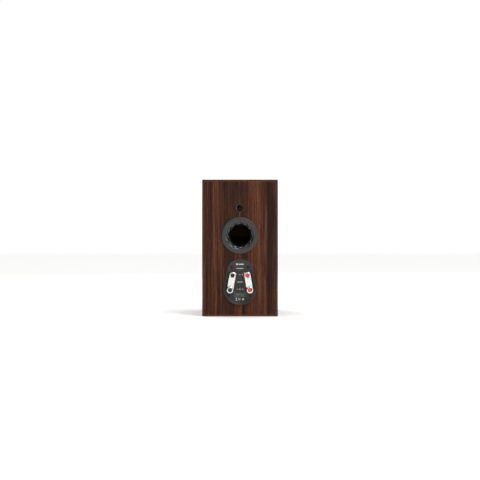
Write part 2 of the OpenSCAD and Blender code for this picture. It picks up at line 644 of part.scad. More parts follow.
// ---- Gaskets behind both drivers and the terminal panel
module mounting_gaskets() color("black") {
    front_at(woofer_drop) difference() {
        tube(woofer_r - 0.6, basket_hole_r + 0.4, seat_back, rebate_u);
        ring_of_six(screw_circle) cylinder(r = screw_r + 0.3, h = rebate_u + 1, $fn = 24);
    }
    front_at(tweeter_drop) tube(tweeter_r - 0.5, chamber_r + 1.4, face_back, face_back + pad_gap);
    difference() {
        egg_slab(0.6, 0, seal_t);
        egg_slab(panel_seat - 0.4, -1, seal_t + 1);
    }
}

// Solder tags of the drivers: two on the woofer's basket, two behind the tweeter
wt_x = 8;
tt_x = 20;
tt_y = 14;
module driver_tags() color("gold") {
    front_at(woofer_drop) for (sx = [-1, 1])
        translate([sx * wt_x - 2.5, magnet_r + 0.6, woofer_tag_u]) cube([5, 9, tag_t]);
    front_at(tweeter_drop) for (sx = [-1, 1])
        translate([sx * tt_x - 2.5, tt_y - 4, chamber_back]) cube([5, 8, tag_t]);
}
woofer_tag_u = base_u - 6;

// ---- Crossover, on the bottom board behind the brace
board_y0 = front_y + brace_back + brace_t + 31;
board_z = wall_t + standoff_h;
board_t = 1.6;
part_z = board_z + board_t;
board_mid = board_y0 + board_d / 2;
module crossover_board() color("darkgreen") difference() {
    translate([-board_w / 2, board_y0, board_z]) cube([board_w, board_d, board_t]);
    standoffs_at() translate([0, 0, board_z - 1]) cylinder(r = 1.6, h = 5, $fn = 24);
}
module standoffs_at() for (sx = [-1, 1], sy = [-1, 1])
    translate([sx * (board_w / 2 - 5), board_mid + sy * (board_d / 2 - 5), 0]) children();
module crossover_standoffs() color("white") standoffs_at() {
    translate([0, 0, wall_t]) cylinder(r = 3.5, h = standoff_h, $fn = 32);
    translate([0, 0, board_z - 0.1]) cylinder(r = 1.5, h = board_t + 1.6, $fn = 24);
}
// Two wound coils: a large one lying flat and a smaller one beside it
COILS = [[-26, 12, 18, 8, 17], [26, 12, 14, 6, 14]];    // x, y from the board's middle, radii, height
module crossover_coils() color("chocolate") for (c = COILS)
    translate([c[0], board_mid + c[1], 0]) tube(c[2], c[3], part_z, part_z + c[4]);
CAPS = [[-24, -21, 8.5, 30], [12, -24, 6.5, 26], [12, -10, 5, 22]];  // x, y, radius, length
module crossover_capacitors() color("royalblue") for (c = CAPS)
    translate([c[0] - c[3] / 2, board_mid + c[1], part_z + c[2]])
    rotate([0, 90, 0]) cylinder(r = c[2], h = c[3], $fn = 48);
RESISTORS = [[37, -22], [37, -10]];
module crossover_resistors() color("white") for (r = RESISTORS)
    translate([r[0] - 9, board_mid + r[1] - 4.5, part_z]) cube([18, 9, 9]);

// ---- Wiring loom: a tube swept along a smooth line through each wire's points
wire_r = 1.2;
function spline(p, i, t) = let (
    a = p[max(i - 1, 0)], b = p[i], c = p[i + 1], d = p[min(i + 2, len(p) - 1)])
    0.5 * (2 * b + (c - a) * t + (2 * a - 5 * b + 4 * c - d) * t * t + (3 * b - a - 3 * c + d) * t * t * t);
function smooth_line(p, n) = concat(
    [for (i = [0:len(p) - 2], k = [0:n - 1]) spline(p, i, k / n)], [p[len(p) - 1]]);
module wire(points, steps = 3, sides = 8) {
    line = smooth_line(points, steps);
    last = len(line) - 1;
    end = len(points) - 1;
    rings = [for (i = [0:last]) let (
        along = i == 0 ? points[1] - points[0] : i == last ? points[end] - points[end - 1]
            : line[i + 1] - line[i - 1],
        u = cross(along, [1, 0, 0]) / norm(cross(along, [1, 0, 0])),
        v = cross(u, along) / norm(cross(u, along)))
        for (k = [0:sides - 1]) line[i] + wire_r * (cos(360 * k / sides) * u + sin(360 * k / sides) * v)];
    walls = [for (i = [0:last - 1], k = [0:sides - 1]) let (n = (k + 1) % sides)
        [i * sides + k, i * sides + n, (i + 1) * sides + n, (i + 1) * sides + k]];
    ends = [[for (k = [sides - 1:-1:0]) k], [for (k = [0:sides - 1]) last * sides + k]];
    polyhedron(rings, concat(walls, ends));
}
module wiring_loom() color("crimson") {
    for (p = POSTS) terminal_wire(p);
    for (sx = [-1, 1]) {
        woofer_wire(sx);
        tweeter_wire(sx);
    }
}
// From a post's lug down to the back edge of the board
module terminal_wire(p) {
    x = p[1] * (p[2] - lug_reach + 2.5);
    z = panel_top - p[3];
    y = rear_y + tag_back - 0.1;
    bx = p[1] * (p[3] == hf_drop ? 6 : 20);
    by = board_y0 + board_d - 5;
    wire([[x, y, z], [x, y - rear_t - 1, z], [(x + bx) / 2, y - rear_t - 10, (z + 50) / 2],
        [bx, by + 6, 50], [bx, by, 38], [bx, by, part_z + 0.1]]);
}
module woofer_wire(sx) {
    x = sx * wt_x;
    y = front_y + woofer_tag_u + 0.9;
    z = height_of(woofer_drop) - magnet_r - 7;
    by = board_y0 + 5;
    wire([[x, y, z], [x, y + 8, z], [x, y + 24, z - 14], [x, by - 24, 42],
        [x, by - 4, 38], [x, by, 31], [x, by, part_z + 0.1]]);
}
module tweeter_wire(sx) {
    y = front_y + chamber_back + 0.9;
    z = height_of(tweeter_drop) - tt_y;
    by = board_y0 + 8;
    bx = sx * 40;
    mid = (window_top + 60) / 2;
    wire([[sx * tt_x, y, z], [sx * tt_x, y + 8, z],
        [sx * (tt_x + 12), front_y + brace_back - 4, window_top - 20], [bx, by - 24, window_top - 50],
        [bx, by - 16, mid], [bx, by - 8, 60], [bx, by, 40], [bx, by, part_z + 0.1]]);
}

// ---- Drawing
left_side();
right_side();
top_board();
bottom_board();
front_baffle();
rear_panel();
window_brace();
damping_pads();
port_flange();
port_tube();
tie_bolt();
tie_bolt_washer();
terminal_panel();
terminal_screws();
post_studs();
post_washers();
post_collars();
post_nuts();
solder_tags();
for (p = POSTS) {
    knob(p);
    clamp_ring(p);
    plug_cap(p);
}
jumper_link(POSTS[0]);  // jumper_link_neg
jumper_link(POSTS[1]);  // jumper_link_pos
tweeter_faceplate();
tweeter_mesh();
tweeter_dome();
tweeter_surround();
tweeter_voice_coil();
tweeter_pole_plate();
tweeter_magnet();
tweeter_cup();
tweeter_rear_chamber();
woofer_trim_ring();
woofer_basket();
woofer_screws();
woofer_cone();
woofer_dust_cap();
woofer_surround();
woofer_spider();
woofer_voice_coil();
woofer_front_plate();
woofer_magnet();
woofer_yoke();
mounting_gaskets();
driver_tags();
crossover_board();
crossover_coils();
crossover_capacitors();
crossover_resistors();
crossover_standoffs();
wiring_loom();
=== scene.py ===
import math

import bmesh
import bpy
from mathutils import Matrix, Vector, noise


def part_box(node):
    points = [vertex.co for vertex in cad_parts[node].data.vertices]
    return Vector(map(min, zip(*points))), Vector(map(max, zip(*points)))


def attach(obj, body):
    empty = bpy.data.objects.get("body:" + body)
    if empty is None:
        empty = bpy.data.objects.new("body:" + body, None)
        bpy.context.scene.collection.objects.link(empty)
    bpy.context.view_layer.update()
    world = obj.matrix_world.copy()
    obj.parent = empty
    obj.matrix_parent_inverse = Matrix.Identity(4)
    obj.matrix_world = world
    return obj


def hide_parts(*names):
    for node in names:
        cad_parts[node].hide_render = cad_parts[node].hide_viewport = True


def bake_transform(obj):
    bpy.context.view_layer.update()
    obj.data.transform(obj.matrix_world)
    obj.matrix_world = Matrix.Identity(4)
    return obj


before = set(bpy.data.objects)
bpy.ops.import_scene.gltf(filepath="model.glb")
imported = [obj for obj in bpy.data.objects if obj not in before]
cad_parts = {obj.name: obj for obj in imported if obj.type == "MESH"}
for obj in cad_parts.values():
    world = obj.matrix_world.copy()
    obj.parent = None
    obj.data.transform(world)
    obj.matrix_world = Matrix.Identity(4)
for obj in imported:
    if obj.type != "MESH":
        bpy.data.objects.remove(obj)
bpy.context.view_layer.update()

# Dictionaries hold millimetres unless they say otherwise, and meshes hold metres.
# The drivers face -Y and the terminals face +Y.
mm = 0.001
scene = bpy.context.scene
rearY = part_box("rear_panel")[1].y
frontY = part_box("front_baffle")[0].y
cabinetLow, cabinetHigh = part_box("left_side")[0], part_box("right_side")[1]
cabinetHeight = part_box("top_board")[1].z


def centreOf(node):
    low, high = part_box(node)
    return (low + high) / 2


def hexToLinear(code):
    # sRGB hex to the linear values that shaders take
    channels = [int(code[i:i + 2], 16) / 255 for i in (1, 3, 5)]
    return tuple(c / 12.92 if c <= 0.04045 else ((c + 0.055) / 1.055) ** 2.4 for c in channels) + (1.0,)


# settings that several nodes share: an eased ramp, and a mix of two colours
smooth = {"interpolation_type": "SMOOTHSTEP"}
asColour = {"data_type": "RGBA"}


def addNode(tree, kind, settings=None, inputs=None):
    # adds one shader node with its settings, values and links
    node = tree.nodes.new("ShaderNode" + kind)
    for name, value in (settings or {}).items():
        if name == "stops":
            while len(node.color_ramp.elements) < len(value):
                node.color_ramp.elements.new(1)
            for element, (position, colour) in zip(node.color_ramp.elements, value):
                element.position = position
                element.color = hexToLinear(colour)
        else:
            setattr(node, name, value)
    for name, value in (inputs or {}).items():
        if isinstance(value, bpy.types.NodeSocket):
            tree.links.new(value, node.inputs[name])
        else:
            node.inputs[name].default_value = value
    return node


def newFinish(name, shaderInputs):
    # a material with a Principled shader, and the object coordinates that its patterns lie in
    material = bpy.data.materials.new(name)
    material.use_nodes = True
    tree = material.node_tree
    tree.nodes.clear()
    shader = addNode(tree, "BsdfPrincipled", inputs=shaderInputs)
    addNode(tree, "OutputMaterial", inputs={"Surface": shader.outputs["BSDF"]})
    place = addNode(tree, "TexCoord").outputs["Object"]
    return material, tree, shader, place


def connect(tree, shader, colour, bump, roughness=None):
    # leads a finish's colour, relief and, where it varies, roughness to its shader
    tree.links.new(colour, shader.inputs["Base Color"])
    tree.links.new(bump.outputs["Normal"], shader.inputs["Normal"])
    if roughness:
        tree.links.new(roughness, shader.inputs["Roughness"])


def radiusAbout(tree, place, centre):
    # distance from the line through centre along Y, for what is ringed or turned about it
    offset = addNode(tree, "VectorMath", {"operation": "SUBTRACT"}, {0: place, 1: (centre.x, 0, centre.z)})
    flat = addNode(tree, "VectorMath", {"operation": "MULTIPLY"}, {0: offset.outputs["Vector"], 1: (1, 0, 1)})
    return addNode(tree, "VectorMath", {"operation": "LENGTH"}, {0: flat.outputs["Vector"]}).outputs["Value"]


def perMetre(size):
    # the texture scale whose features measure that many millimetres
    return 1000 / size


def toObject(name, mesh, material, sharp=35):
    data = bpy.data.meshes.new(name)
    mesh.to_mesh(data)
    mesh.free()
    data.materials.append(material)
    data.polygons.foreach_set("use_smooth", [True] * len(data.polygons))
    data.set_sharp_from_angle(angle=math.radians(sharp))
    piece = bpy.data.objects.new(name, data)
    scene.collection.objects.link(piece)
    return piece


def fit(piece, body, slotName, *nodes):
    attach(piece, body)
    if nodes:
        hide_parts(*nodes)
    return piece


def dress(node, finish, bevel=0):
    # gives a CAD node its finish, and breaks its sharp edges by that many millimetres
    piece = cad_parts[node]
    piece.data.materials.clear()
    piece.data.materials.append(finishes[finish])
    if bevel:
        edge = piece.modifiers.new("BrokenEdges", "BEVEL")
        edge.width = bevel * mm
        edge.segments = 2
        edge.limit_method = "ANGLE"
        edge.angle_limit = math.radians(50)
        edge.harden_normals = True


def arcPoints(across, out, radius, start, end, count):
    # points on an arc of a profile, in (radius, height)
    angles = [math.radians(start + (end - start) * i / count) for i in range(count + 1)]
    return [(across + radius * math.cos(a), out + radius * math.sin(a)) for a in angles]


def turn(mesh, profile, centre, base, facing, segments=96, shape=None, loop=True):
    # turns a profile of (radius, height) about the Y axis through centre; heights run outwards from base
    rings = []
    for radius, height in profile:
        ring = []
        for s in range(segments):
            angle = 2 * math.pi * s / segments
            r, h = shape(radius, height, angle) if shape else (radius, height)
            ring.append(mesh.verts.new((centre.x + mm * r * math.cos(angle), base + facing * mm * h,
                                        centre.z + mm * r * math.sin(angle))))
        rings.append(ring)
    pairs = list(zip(rings, rings[1:])) + ([(rings[-1], rings[0])] if loop else [])
    for one, two in pairs:
        for s in range(segments):
            t = (s + 1) % segments
            mesh.faces.new((one[s], one[t], two[t], two[s]))


def turned(name, profile, centre, base, facing, material, segments=96, shape=None, loop=True, sharp=35):
    mesh = bmesh.new()
    turn(mesh, profile, centre, base, facing, segments, shape, loop)
    bmesh.ops.remove_doubles(mesh, verts=mesh.verts, dist=1e-7)
    bmesh.ops.recalc_face_normals(mesh, faces=mesh.faces)
    return toObject(name, mesh, material, sharp)


print("stage: camera, light and floor")

view = {"distance": 2600, "frameWidth": 1046, "aimAbove": 17.5, "sensor": 36}
camera = bpy.data.objects.new("Camera", bpy.data.cameras.new("Camera"))
scene.collection.objects.link(camera)
camera.data.sensor_width = view["sensor"]
camera.data.lens = view["sensor"] * view["distance"] / view["frameWidth"]
camera.location = (0, rearY + view["distance"] * mm, cabinetHeight / 2 + view["aimAbove"] * mm)
camera.rotation_euler = (math.radians(90), 0, math.radians(180))
camera.data.clip_end = 50
scene.camera = camera

studio = {
    "backdrop": 1.02, "darkSide": 0.12, "overhead": 1.35,
    "aim": (0, 0, 0.15),
    "lamps": [  # name, place and size in metres, power in watts
        ("KeyLight", (-0.8, 1.5, 1.7), 0.8, 20),
        ("SideLight", (-1.7, 1.4, 0.75), 0.4, 5),
        ("FaceLight", (0.05, 3.3, 0.35), 0.9, 2.5),
        ("FrontLight", (0.9, -1.9, 1.5), 1.2, 14),
    ],
    "floorColour": "#fdfdfc",
}
# the world is a white backdrop behind the cabinet that fades to a dim studio on the camera's side
world = bpy.data.worlds.new("StudioWorld")
scene.world = world
world.use_nodes = True
sky = world.node_tree
direction = addNode(sky, "SeparateXYZ", inputs={"Vector": addNode(sky, "TexCoord").outputs["Generated"]})
fade = addNode(sky, "MapRange", smooth, {
    "Value": direction.outputs["Y"], "From Min": -0.45, "From Max": 0.35,
    "To Min": studio["backdrop"], "To Max": studio["darkSide"]})
above = addNode(sky, "MapRange", smooth, {
    "Value": direction.outputs["Z"], "From Min": 0.35, "From Max": 0.9,
    "To Min": 0, "To Max": studio["overhead"]})
brightness = addNode(sky, "Math", {"operation": "MAXIMUM"}, {
    0: fade.outputs["Result"], 1: above.outputs["Result"]})
sky.links.new(brightness.outputs[0], sky.nodes["Background"].inputs["Strength"])
sky.nodes["Background"].inputs["Color"].default_value = (1, 1, 1, 1)
for lampName, place, size, power in studio["lamps"]:
    lamp = bpy.data.objects.new(lampName, bpy.data.lights.new(lampName, "AREA"))
    lamp.data.size = size
    lamp.data.energy = power
    lamp.location = place
    lamp.rotation_euler = (Vector(studio["aim"]) - Vector(place)).to_track_quat("-Z", "Y").to_euler()
    scene.collection.objects.link(lamp)
scene.view_settings.view_transform = "Standard"


def paintedFloor():
    # matt white studio paint: no gloss, a very faint roller texture
    material, tree, shader, place = newFinish("MattWhitePaint", {"Roughness": 0.9,
                                              "Base Color": hexToLinear(studio["floorColour"])})
    grain = addNode(tree, "TexNoise", inputs={"Vector": place, "Scale": perMetre(3)}).outputs["Fac"]
    bump = addNode(tree, "Bump", inputs={"Height": grain, "Strength": 0.05, "Distance": 0.2 * mm})
    tree.links.new(bump.outputs["Normal"], shader.inputs["Normal"])
    return material


floorMesh = bmesh.new()
bmesh.ops.create_grid(floorMesh, x_segments=1, y_segments=1, size=12)
floor = toObject("StudioFloor", floorMesh, paintedFloor())

print("stage: finishes")

walnut = {
    "tones": [(0.22, "#1e0f05"), (0.40, "#2e180b"), (0.53, "#3b1f10"), (0.66, "#4e2918"), (0.84, "#643b26")],
    # width and length of a mark in millimetres, noise detail, and its share of the tone
    "layers": [(17, 600, 2, 1.05), (4.2, 260, 2, 0.90), (1.6, 120, 2, 0.78), (0.8, 14, 1, 0.40)],
    "poreWidth": 0.55, "poreLength": 9, "poreColour": "#1f110a", "wander": 3, "roughness": 0.5, "gloss": 0.14,
    "skin": 1.0, "core": ("#6f5236", "#8a6a47"),
}


def walnutVeneer(name, along="Z", figureAndEdgeHighlight=False):
    # sliced walnut under satin lacquer: dark brown bands, fine streaks and short open pores along the grain
    material, tree, shader, place = newFinish(name, {"Specular IOR Level": walnut["gloss"]})
    length = {"X": 0, "Y": 1, "Z": 2}[along]

    def grain(source, width, run, detail):
        ratio = [1.0, 1.0, 1.0]
        ratio[length] = width / run
        squeezed = addNode(tree, "VectorMath", {"operation": "MULTIPLY"}, {0: source, 1: ratio})
        return addNode(tree, "TexNoise", inputs={
            "Vector": squeezed.outputs["Vector"], "Scale": perMetre(width),
            "Detail": detail, "Roughness": 0.6}).outputs["Fac"]

    drift = addNode(tree, "TexNoise", inputs={"Vector": place, "Scale": perMetre(110), "Detail": 1})
    shift = addNode(tree, "VectorMath", {"operation": "MULTIPLY_ADD"}, {
        0: drift.outputs["Color"], 1: [2 * walnut["wander"] * mm] * 3, 2: [-walnut["wander"] * mm] * 3})
    wavy = addNode(tree, "VectorMath", inputs={0: place, 1: shift.outputs["Vector"]}).outputs["Vector"]
    tone = 0.5 - sum(layer[3] for layer in walnut["layers"]) / 2
    for width, run, detail, share in walnut["layers"]:
        fine = grain(wavy, width, run, detail)
        tone = addNode(tree, "Math", {"operation": "MULTIPLY_ADD"}, {0: fine, 1: share, 2: tone}).outputs[0]
    if figureAndEdgeHighlight:
        tone = rearFigure(tree, wavy, tone)
    colour = addNode(tree, "ValToRGB", {"stops": walnut["tones"]}, {"Fac": tone}).outputs["Color"]
    pores = grain(place, walnut["poreWidth"], walnut["poreLength"], 1)
    poreMask = addNode(tree, "MapRange", inputs={
        "Value": pores, "From Min": 0.58, "From Max": 0.68, "To Min": 0, "To Max": 0.7}).outputs["Result"]
    colour = addNode(tree, "Mix", asColour, {
        0: poreMask, 6: colour, 7: hexToLinear(walnut["poreColour"])}).outputs[2]
    # the figured rear sheet also gets a painted highlight along its edge
    if figureAndEdgeHighlight:
        colour = paintedEdgeHighlight(tree, place, colour)
    colour = bareInside(tree, place, colour)
    rough = addNode(tree, "MapRange", inputs={"Value": tone, "To Min": walnut["roughness"] + 0.08,
                    "To Max": walnut["roughness"] - 0.06}).outputs["Result"]
    bump = addNode(tree, "Bump", inputs={"Height": poreMask, "Strength": 0.4, "Distance": -0.12 * mm})
    connect(tree, shader, colour, bump, rough)
    return material


rearSheet = {"heartTop": -51, "heartFoot": -71, "softness": 1.2, "heartDepth": 0.13, "redAt": -36,
             "redWidth": 24, "redLift": 0.17, "edgeStrip": -77}


def rearFigure(tree, wavy, tone):
    # the rear sheet's own figure: dark heartwood beyond a slanting line, and a warmer zone beside it
    parts = addNode(tree, "SeparateXYZ", inputs={"Vector": wavy})
    slope = (rearSheet["heartTop"] - rearSheet["heartFoot"]) * mm / cabinetHeight
    line = addNode(tree, "Math", {"operation": "MULTIPLY_ADD"}, {
        0: parts.outputs["Z"], 1: slope, 2: rearSheet["heartFoot"] * mm})
    past = addNode(tree, "Math", {"operation": "SUBTRACT"}, {0: line.outputs[0], 1: parts.outputs["X"]})
    heart = addNode(tree, "MapRange", smooth, {
        "Value": past.outputs[0], "From Min": -rearSheet["softness"] * mm,
        "From Max": rearSheet["softness"] * mm, "To Min": 0, "To Max": -rearSheet["heartDepth"]})
    strip = addNode(tree, "MapRange", smooth, {
        "Value": parts.outputs["X"], "From Min": (rearSheet["edgeStrip"] + 3) * mm,
        "From Max": rearSheet["edgeStrip"] * mm, "To Min": 0, "To Max": rearSheet["heartDepth"] * 0.6})
    offset = addNode(tree, "Math", {"operation": "MULTIPLY_ADD"}, {
        0: parts.outputs["X"], 1: 1 / (rearSheet["redWidth"] * mm),
        2: -rearSheet["redAt"] / rearSheet["redWidth"]})
    near = addNode(tree, "Math", {"operation": "ABSOLUTE"}, {0: offset.outputs[0]})
    red = addNode(tree, "MapRange", smooth, {
        "Value": near.outputs[0], "From Min": 1.2, "From Max": 0.4,
        "To Min": 0, "To Max": rearSheet["redLift"]})
    total = tone
    for part in (heart, strip, red):
        total = addNode(tree, "Math", inputs={0: total, 1: part.outputs["Result"]}).outputs[0]
    return total


# the painted edge highlight: its reach in from the panel's edge, and its colour
edgeHighlight = {"reach": 0.8, "colour": "#7a4a3c"}


def depthUnder(tree, place, low, high, axes):
    # how far a point lies under the nearest of a box's faces on those axes
    parts = addNode(tree, "SeparateXYZ", inputs={"Vector": place})
    nearest = None
    for axis in axes:
        start, end = (getattr(corner, axis.lower()) for corner in (low, high))
        middle, half = (start + end) / 2, (end - start) / 2
        away = addNode(tree, "Math", {"operation": "SUBTRACT"}, {0: parts.outputs[axis], 1: middle})
        size = addNode(tree, "Math", {"operation": "ABSOLUTE"}, {0: away.outputs[0]})
        under = addNode(tree, "Math", {"operation": "SUBTRACT"}, {0: half, 1: size.outputs[0]}).outputs[0]
        nearest = under if nearest is None else addNode(tree, "Math", {"operation": "MINIMUM"}, {
            0: nearest, 1: under}).outputs[0]
    return nearest


def bareInside(tree, place, colour):
    # the veneer is a skin: under it, and on every inner face and cut edge, the boards are bare fibreboard
    depth = depthUnder(tree, place, cabinetLow, cabinetHigh, "XYZ")
    mask = addNode(tree, "MapRange", inputs={"Value": depth, "From Min": walnut["skin"] * mm,
                   "From Max": (walnut["skin"] + 0.2) * mm, "To Min": 0, "To Max": 1}).outputs["Result"]
    fleck = addNode(tree, "TexNoise", inputs={
        "Vector": place, "Scale": perMetre(1.2), "Detail": 4}).outputs["Fac"]
    core = addNode(tree, "Mix", asColour, {
        0: fleck, 6: hexToLinear(walnut["core"][0]), 7: hexToLinear(walnut["core"][1])}).outputs[2]
    return addNode(tree, "Mix", asColour, {0: mask, 6: colour, 7: core}).outputs[2]


def paintedEdgeHighlight(tree, place, colour):
    # a painted highlight: a paler, redder line all round the panel's edge, where the groove beside it catches
    # light
    nearest = depthUnder(tree, place, *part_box("rear_panel"), "XZ")
    mask = addNode(tree, "MapRange", smooth, {
        "Value": nearest, "From Min": edgeHighlight["reach"] * mm, "From Max": 0.4 * edgeHighlight["reach"] * mm,
        "To Min": 0, "To Max": 0.85})
    return addNode(tree, "Mix", asColour, {0: mask.outputs["Result"], 6: colour,
                   7: hexToLinear(edgeHighlight["colour"])}).outputs[2]


def mouldedPlastic(name, colour, worn, roughness, grit, depth, gloss=0.35, polished=None):
    # injection-moulded plastic: a fine spark-eroded grain, slightly uneven sheen and faint scuffs;
    # grit and depth are the grain's width and relief, and gloss is the strength of its surface shine
    material, tree, shader, place = newFinish(name, {"Specular IOR Level": gloss})
    texture = 1.0
    if polished:
        # the mould was polished inside that radius about the opening, so the plastic is glossy there
        middle, reach, shine = polished
        texture = addNode(tree, "MapRange", smooth, {
            "Value": radiusAbout(tree, place, middle),
            "From Min": (reach - 1) * mm, "From Max": (reach + 1) * mm}).outputs["Result"]
    grain = addNode(tree, "TexNoise", inputs={
        "Vector": place, "Scale": perMetre(grit), "Detail": 3}).outputs["Fac"]
    patches = addNode(tree, "TexNoise", inputs={
        "Vector": place, "Scale": perMetre(18), "Detail": 4}).outputs["Fac"]
    blend = addNode(tree, "MapRange", inputs={"Value": patches, "From Min": 0.35, "From Max": 0.75,
                    "To Min": 0, "To Max": 1}).outputs["Result"]
    tint = addNode(tree, "Mix", asColour, {
        0: blend, 6: hexToLinear(colour), 7: hexToLinear(worn)})
    rough = addNode(tree, "MapRange", inputs={"Value": grain, "From Min": 0.3, "From Max": 0.7,
                    "To Min": roughness - 0.06, "To Max": roughness + 0.08}).outputs["Result"]
    if polished:
        rough = addNode(tree, "Mix", inputs={0: texture, 2: shine, 3: rough}).outputs[0]
        grain = addNode(tree, "Math", {"operation": "MULTIPLY"}, {0: grain, 1: texture}).outputs[0]
    bump = addNode(tree, "Bump", inputs={"Height": grain, "Strength": 0.4, "Distance": depth * mm})
    connect(tree, shader, tint.outputs[2], bump, rough)
    return material


def platedMetal(name, colour, tarnish, roughness, smudge=20):
    # plated or polished metal: clear reflections, with faint smudges and hairline polishing marks
    material, tree, shader, place = newFinish(name, {"Metallic": 1.0})
    patches = addNode(tree, "TexNoise", inputs={
        "Vector": place, "Scale": perMetre(smudge), "Detail": 5}).outputs["Fac"]
    hair = addNode(tree, "TexNoise", inputs={
        "Vector": place, "Scale": perMetre(0.4), "Detail": 2}).outputs["Fac"]
    blend = addNode(tree, "MapRange", inputs={"Value": patches, "From Min": 0.45, "From Max": 0.8,
                    "To Min": 0, "To Max": 1}).outputs["Result"]
    tint = addNode(tree, "Mix", asColour, {
        0: blend, 6: hexToLinear(colour), 7: hexToLinear(tarnish)})
    rough = addNode(tree, "MapRange", inputs={"Value": patches, "From Min": 0.3, "From Max": 0.8,
                    "To Min": roughness, "To Max": roughness + 0.1})
    bump = addNode(tree, "Bump", inputs={"Height": hair, "Strength": 0.08, "Distance": 0.02 * mm})
    connect(tree, shader, tint.outputs[2], bump, rough.outputs["Result"])
    return material


def spunAluminium(name, colour, shade, roughness, centre, pitch=0.5):
    # spun and anodised aluminium: fine rings left by the tool, all about the driver's axis
    material, tree, shader, place = newFinish(name, {"Metallic": 1.0})
    rings = addNode(tree, "TexNoise", {"noise_dimensions": "1D"}, {
        "W": radiusAbout(tree, place, centre), "Scale": perMetre(pitch), "Detail": 2}).outputs["Fac"]
    patches = addNode(tree, "TexNoise", inputs={
        "Vector": place, "Scale": perMetre(25), "Detail": 3}).outputs["Fac"]
    tint = addNode(tree, "Mix", asColour, {
        0: patches, 6: hexToLinear(colour), 7: hexToLinear(shade)})
    rough = addNode(tree, "MapRange", inputs={"Value": rings, "From Min": 0.3, "From Max": 0.7,
                    "To Min": roughness - 0.05, "To Max": roughness + 0.08})
    bump = addNode(tree, "Bump", inputs={"Height": rings, "Strength": 0.3, "Distance": 0.03 * mm})
    connect(tree, shader, tint.outputs[2], bump, rough.outputs["Result"])
    return material


def fibreBoard(name):
    # bare medium-density fibreboard: pale brown, with fine darker fibres pressed in every direction
    material, tree, shader, place = newFinish(name, {"Roughness": 0.85, "Specular IOR Level": 0.2})
    fibres = addNode(tree, "TexNoise", inputs={
        "Vector": place, "Scale": perMetre(1.2), "Detail": 6, "Roughness": 0.7}).outputs["Fac"]
    clouds = addNode(tree, "TexNoise", inputs={"Vector": place, "Scale": perMetre(40), "Detail": 2})
    mixed = addNode(tree, "Math", {"operation": "MULTIPLY_ADD"}, {0: clouds.outputs["Fac"], 1: 0.4,
                    2: fibres})
    colour = addNode(tree, "ValToRGB", {"stops": [(0.5, "#7d6143"), (0.72, "#a5855f"), (0.9, "#bfa27b")]},
                     {"Fac": mixed.outputs[0]})
    bump = addNode(tree, "Bump", inputs={"Height": fibres, "Strength": 0.4, "Distance": 0.1 * mm})
    connect(tree, shader, colour.outputs["Color"], bump)
    return material


def feltFibre(name):
    # bonded polyester and cotton fibre, needled into a soft pad: matted strands and small dark flecks
    material, tree, shader, place = newFinish(name, {"Roughness": 0.95, "Specular IOR Level": 0.1,
                                              "Sheen Weight": 0.35, "Sheen Roughness": 0.6})
    strands = addNode(tree, "TexNoise", inputs={
        "Vector": place, "Scale": perMetre(1.6), "Detail": 8, "Roughness": 0.75,
        "Distortion": 1.6}).outputs["Fac"]
    flecks = addNode(tree, "TexVoronoi", inputs={"Vector": place, "Scale": perMetre(4)})
    dots = addNode(tree, "MapRange", inputs={
        "Value": flecks.outputs["Distance"], "From Min": 0.05, "From Max": 0.2, "To Min": 0.5, "To Max": 0})
    colour = addNode(tree, "ValToRGB", {"stops": [(0.3, "#77766f"), (0.6, "#aaa9a1"), (0.8, "#c9c8c1")]},
                     {"Fac": strands})
    tint = addNode(tree, "Mix", asColour, {0: dots.outputs["Result"], 6: colour.outputs["Color"],
                   7: hexToLinear("#4b4c50")})
    bump = addNode(tree, "Bump", inputs={"Height": strands, "Strength": 0.8, "Distance": 0.8 * mm})
    connect(tree, shader, tint.outputs[2], bump)
    return material


def wovenCloth(name, colour, shade, thread):
    # resin-stiffened cotton: a plain weave of over and under threads, with painted shade where the threads
    # dip under each other
    material, tree, shader, place = newFinish(name, {"Roughness": 0.8, "Specular IOR Level": 0.25})
    weave = None
    for direction in ("X", "Z"):
        wave = addNode(tree, "TexWave", {"wave_type": "BANDS", "bands_direction": direction}, {
            "Vector": place, "Scale": perMetre(thread) / 3.14, "Distortion": 0.6, "Detail": 1}).outputs["Fac"]
        weave = wave if weave is None else addNode(tree, "Math", {"operation": "MULTIPLY"}, {
            0: weave, 1: wave}).outputs[0]
    # painted shade: the colour darkens where the threads dip under each other
    tint = addNode(tree, "Mix", asColour, {
        0: weave, 6: hexToLinear(shade), 7: hexToLinear(colour)})
    bump = addNode(tree, "Bump", inputs={"Height": weave, "Strength": 0.5, "Distance": 0.1 * mm})
    connect(tree, shader, tint.outputs[2], bump)
    return material


def woundCopper(name, wire, direction="Z"):
    # enamelled copper wire, wound in close turns, with painted shade between the turns and a painted
    # highlight along each turn's crown
    material, tree, shader, place = newFinish(name, {"Metallic": 1.0, "Roughness": 0.3, "Coat Weight": 0.4})
    turns = addNode(tree, "TexWave", {"wave_type": "BANDS", "bands_direction": direction}, {
        "Vector": place, "Scale": perMetre(wire) / 3.14, "Distortion": 0.3, "Detail": 1}).outputs["Fac"]
    # the dark stop is painted shade between the turns, the light stop a painted highlight on their crowns
    tint = addNode(tree, "ValToRGB", {"stops": [(0.0, "#4a1f0c"), (0.4, "#a4502a"), (1.0, "#c9754a")]},
                   {"Fac": turns})
    bump = addNode(tree, "Bump", inputs={"Height": turns, "Strength": 0.7, "Distance": wire * 0.3 * mm})
    connect(tree, shader, tint.outputs["Color"], bump)
    return material


